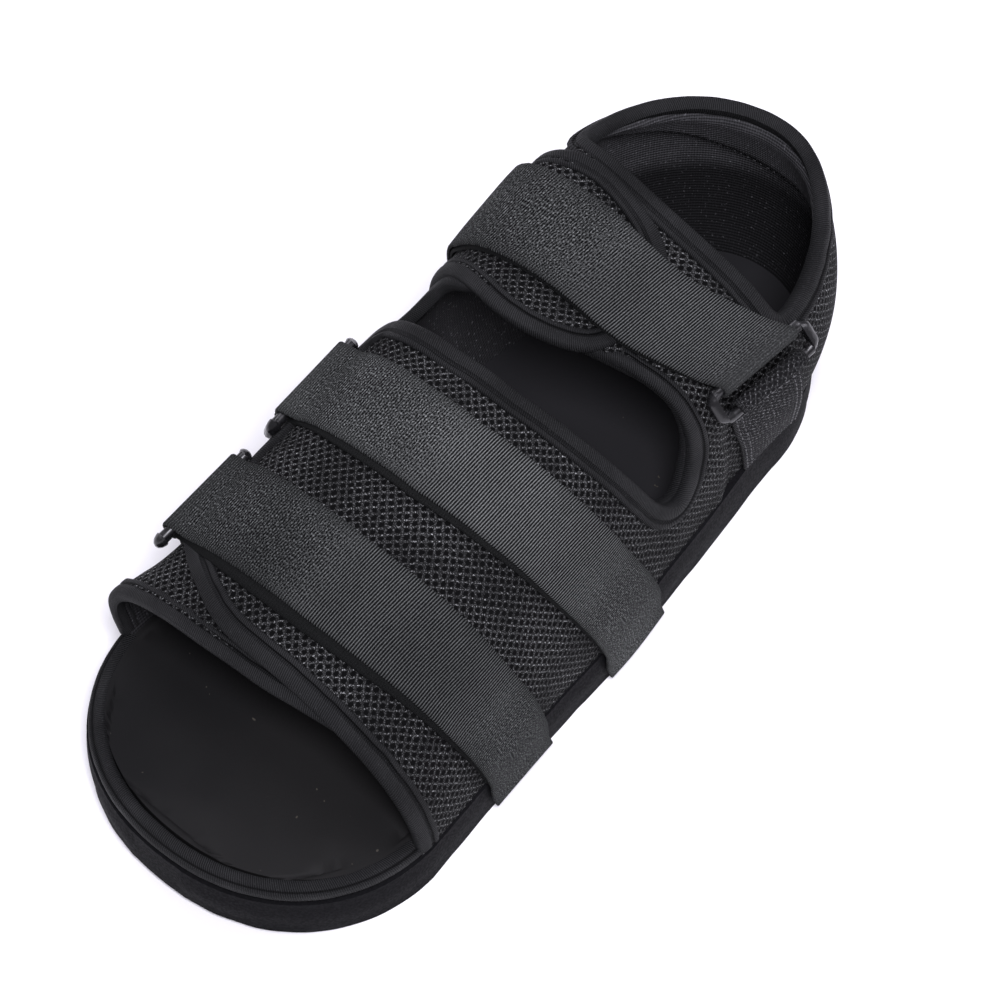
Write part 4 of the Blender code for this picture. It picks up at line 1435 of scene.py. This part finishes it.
def lay_tape(name, paths, thickness, ring_at=None):
    """A tape of even thickness along paths, with its layout along and across."""
    outer = []
    inner = []
    flat = []
    for j, path in enumerate(paths):
        out_row = []
        in_row = []
        edge = THIN_EDGE if j in (0, len(paths) - 1) else 1.0
        for i, point in enumerate(path):
            before = path[max(0, i - 1)]
            after = path[min(len(path) - 1, i + 1)]
            size = math.hypot(after.x - before.x, after.z - before.z)
            way = Vector((after.z - before.z, 0.0, before.x - after.x)) / size
            out_row.append(point + way * (0.5 * thickness * edge))
            in_row.append(point - way * (0.5 * thickness * edge))
        runs = lengths(path)
        if ring_at is not None:
            runs = [runs[ring_at] - u for u in runs]
        outer.append(out_row)
        inner.append(in_row)
        flat.append([(u, j * STRAP_WIDTH / (len(paths) - 1)) for u in runs])
    piece = cloth(name, outer, inner, flat)
    turn_outwards(piece)
    return piece


ACROSS = (-0.5, -0.488, -0.46, -0.40, -0.28, -0.14, 0.0, 0.14, 0.28, 0.40, 0.46, 0.488, 0.5)
print("strap layers", round(UNDER * 1000, 2), "and", round(OVER * 1000, 2), "mm over the upper")

# %% [markdown]
# The tape's finish changes along it, neat in the middle and dark in the fold
# round the ring, so its layout is counted from the middle of that fold. A
# little noise lifts the top layer, which would look like sheet metal without.

# %% Straps
RING_MIDDLE = len(FOOT_DROPS) + ROUTE_STOPS + 1 + RING_STEPS // 2
for row in STRAPS:
    name = row[0]
    paths = []
    for across in ACROSS:
        def wave(t, a=across, n=len(name)):
            return 0.00025 + 0.00025 * noise.noise(Vector((t * 0.06, a * 2.0, n)))

        paths.append(strap_path(row, across, wave))
    strap = lay_tape("strap_" + name + "_tape", paths, STRAP_THICKNESS, RING_MIDDLE)
    settle(strap, TAPES[name], "loop_tape", "strap_" + name)

# %% [markdown]
# A ring is a rounded rectangle of round bar. A plane is sized to it, its
# corners are rounded by a vertex bevel, its face is dropped to leave the
# outline, and the outline becomes a curve with the bar's thickness. Moulded
# rings are stouter at their ends, so these are pushed out and thickened.

# %% Rings
RING_INNER_WIDTH = 0.0064
RING_SLACK = 0.0022
RING_END = 0.0015
RING_END_THICKER = 1.30


def make_ring(row):
    bar, _, short_way, long_way = hang(row)
    width = RING_INNER_WIDTH + RING_BAR
    length = STRAP_WIDTH + RING_SLACK + RING_BAR
    bpy.ops.object.select_all(action="DESELECT")
    bpy.ops.mesh.primitive_plane_add(size=1.0)
    ring = bpy.context.object
    ring.name = "ring_" + row[0] + "_loop"
    ring.scale = (length, width, 1.0)
    bpy.ops.object.transform_apply(location=False, rotation=False, scale=True)
    bpy.ops.object.mode_set(mode="EDIT")
    bpy.ops.mesh.select_all(action="SELECT")
    bpy.ops.mesh.bevel(offset=0.0026, segments=8, affect="VERTICES")
    bpy.ops.mesh.select_all(action="SELECT")
    bpy.ops.mesh.delete(type="ONLY_FACE")
    bpy.ops.object.mode_set(mode="OBJECT")
    bpy.ops.object.convert(target="CURVE")
    ring.data.bevel_depth = 0.5 * RING_BAR
    ring.data.bevel_resolution = 5
    bpy.ops.object.convert(target="MESH")
    end = 0.5 * length
    for vert in ring.data.vertices:
        beyond = (abs(vert.co.x) - end) / (0.5 * RING_BAR)
        if beyond > -1.0:
            wider = RING_END if row[2] > 0 or vert.co.x < 0.0 or beyond < 0.0 else 0.0
            vert.co.x += math.copysign(wider * beyond, vert.co.x)
            vert.co.z *= mix(1.0, RING_END_THICKER, smooth(-1.0, 0.0, beyond))
    turned = Matrix((long_way, short_way, long_way.cross(short_way))).transposed().to_4x4()
    middle = bar + short_way * (0.5 * width)
    ring.data.transform(Matrix.Translation(middle) @ turned)
    return ring


for row in STRAPS:
    ring = make_ring(row)
    turn_outwards(ring, 0.00001)
    settle(ring, PLASTIC, "ring_plastic", "ring_" + row[0])

# %% [markdown]
# A tab is a short tape that goes round the ring's lower bar and slants down to
# the sole's edge, where it is sewn on. It is made in the same way as a strap:
# a path for each place across its width, and one tape laid along them all.

# %% Tabs
TAB_SLANT = 0.22
TAB_STEPS = 12


def tab_path(row, across):
    """Up the side of the shoe from the sole's edge, then round the ring's lower bar."""
    side = row[2]
    bar, normal, short_way, long_way = hang(row)
    low_bar = bar + short_way * (RING_INNER_WIDTH + RING_BAR)
    base = STRAP_GAP + 0.5 * STRAP_THICKNESS
    middle = share_at(low_bar.y)
    limit = low_bar.z - 0.0035 - 0.5 * STRAP_WIDTH * abs(long_way.z / long_way.y)
    stops = [0.5 * i for i in range(170)]
    stops = [t if side > 0 else 180.0 - t for t in stops]
    stops = [t for t in stops if on_upper(middle, t, 0.0, False).z < limit]
    wrapped = low_bar + long_way * (across * (STRAP_WIDTH - 0.003))
    path = []
    for t in stops[::3]:
        drop = wrapped.z - on_upper(middle, t, 0.0, False).z
        path.append(on_upper(share_at(wrapped.y + TAB_SLANT * drop), t, base))
    for i in range(TAB_STEPS + 1):
        angle = math.radians(180.0 + 200.0 * i / TAB_STEPS)
        path.append(wrapped + WRAP * (math.cos(angle) * normal + math.sin(angle) * short_way))
    return path


for row in STRAPS:
    paths = [tab_path(row, across) for across in ACROSS]
    tab = lay_tape("tab_" + row[0] + "_tape", paths, STRAP_THICKNESS)
    settle(tab, TAB_MESH, "tab_fabric", "tab_" + row[0])

# %% [markdown]
# ## Sewing
# Two seams show their thread: the one under the padded collar and those round
# the tab at the ankle. Each stitch is a short thread that dips in at both ends.

# %% Stitches
THREAD_RADIUS = 0.00022
PATCH_STEP = 0.0028


def stitches(name, spots, length, radius):
    """One piece of many stitches, each along a way and raised along a normal."""
    bm = bmesh.new()
    bm.loops.layers.uv.new("cloth")
    for point, way, normal in spots:
        across = way.cross(normal).normalized()
        rings = []
        for k in range(5):
            t = k / 2.0 - 1.0
            middle = point + way * (0.5 * length * t) + normal * (radius * (0.5 - 0.8 * t * t))
            thick = radius * (0.45 if k in (0, 4) else 1.0)
            ring = []
            for m in range(6):
                angle = math.radians(60.0 * m)
                around = math.cos(angle) * across + math.sin(angle) * normal
                ring.append(bm.verts.new(middle + thick * around))
            rings.append(ring)
        for low_ring, high_ring in zip(rings, rings[1:]):
            for m in range(6):
                n = (m + 1) % 6
                bm.faces.new((low_ring[m], low_ring[n], high_ring[n], high_ring[m]))
        bm.faces.new(rings[0][::-1])
        bm.faces.new(rings[-1])
    bmesh.ops.recalc_face_normals(bm, faces=bm.faces)
    return named(name, bm)


def spaced(points, step):
    """Points at even steps along a line, each with the way along it."""
    run = lengths(points)
    places = [(i + 0.5) * step for i in range(int(run[-1] / step))]
    found = []
    for j, t in places_on(run, places):
        found.append((points[j].lerp(points[j + 1], t), (points[j + 1] - points[j]).normalized()))
    return found


def outwards(point, way, normal):
    """A stitch on the tab's outer face."""
    normal = normal.normalized() * math.copysign(1.0, normal.x)
    return point + normal * (0.5 * STRAP_THICKNESS), way, normal


seam_line = [on_heel(float(i), SEAM_PART, pad_swell(SEAM_PART, float(i))) for i in range(8, 173)]
seam_spots = []
for point, way in spaced(seam_line, 0.0024):
    inward = Vector((-point.x, along(HEEL_SHARE) - point.y, 0.0)).normalized()
    seam_spots.append((point, way, inward))
seam = stitches("collar_stitches", seam_spots, 0.0014, THREAD_RADIUS)
settle(seam, THREAD, "binding_tape")

patch_spots = []
ankle_row = STRAPS[2]
for part in (-0.45, -0.37, 0.37, 0.45):
    for point, way in spaced(tab_path(ankle_row, part)[: -TAB_STEPS - 1], PATCH_STEP):
        patch_spots.append(outwards(point, way, Vector((way.z, 0.0, -way.x))))
ahead = tab_path(ankle_row, 0.0)
for back in (16, 19):
    line = [tab_path(ankle_row, -0.45 + 0.09 * k)[-back] for k in range(11)]
    rise_way = (ahead[-back] - ahead[-back - 1]).normalized()
    for point, way in spaced(line, PATCH_STEP):
        patch_spots.append(outwards(point, way, way.cross(rise_way)))
patch = stitches("tab_stitches", patch_spots, 0.0018, THREAD_RADIUS)
settle(patch, THREAD, "tab_fabric")

# %% [markdown]
# ## Floor and light
# A plain pale floor, three soft lights and a dim room, all slightly cool, as in
# a product studio.

# %% Floor and lights
COOL = (0.93, 0.91, 1.0)
ROOM_LIGHT = 0.34
bpy.ops.object.select_all(action="DESELECT")
bpy.ops.mesh.primitive_plane_add(size=8.0, location=(0.0, 0.0, 0.0))
floor = bpy.context.object
floor.name = "floor"
floor.data.materials.append(paper.material)


def soft_light(name, place, size, power):
    light = bpy.data.lights.new(name, "AREA")
    light.shape = "DISK"
    light.size = size
    light.energy = power
    light.color = COOL
    lamp = bpy.data.objects.new(name, light)
    lamp.location = place
    lamp.rotation_euler = (Vector(place) - AIM).to_track_quat("Z", "Y").to_euler()
    bpy.context.scene.collection.objects.link(lamp)


soft_light("key", (0.68, -0.58, 1.75), 0.7, 40.0)
soft_light("side", (-1.0, 0.3, 1.1), 0.8, 8.0)
soft_light("back", (0.9, 1.1, 1.0), 0.9, 11.0)
world = bpy.data.worlds.new("studio")
world.use_nodes = True
world.node_tree.nodes["Background"].inputs["Color"].default_value = (*COOL, 1.0)
world.node_tree.nodes["Background"].inputs["Strength"].default_value = ROOM_LIGHT
bpy.context.scene.world = world
bpy.context.scene.view_settings.view_transform = "Standard"
print("lights:", len(bpy.data.lights))
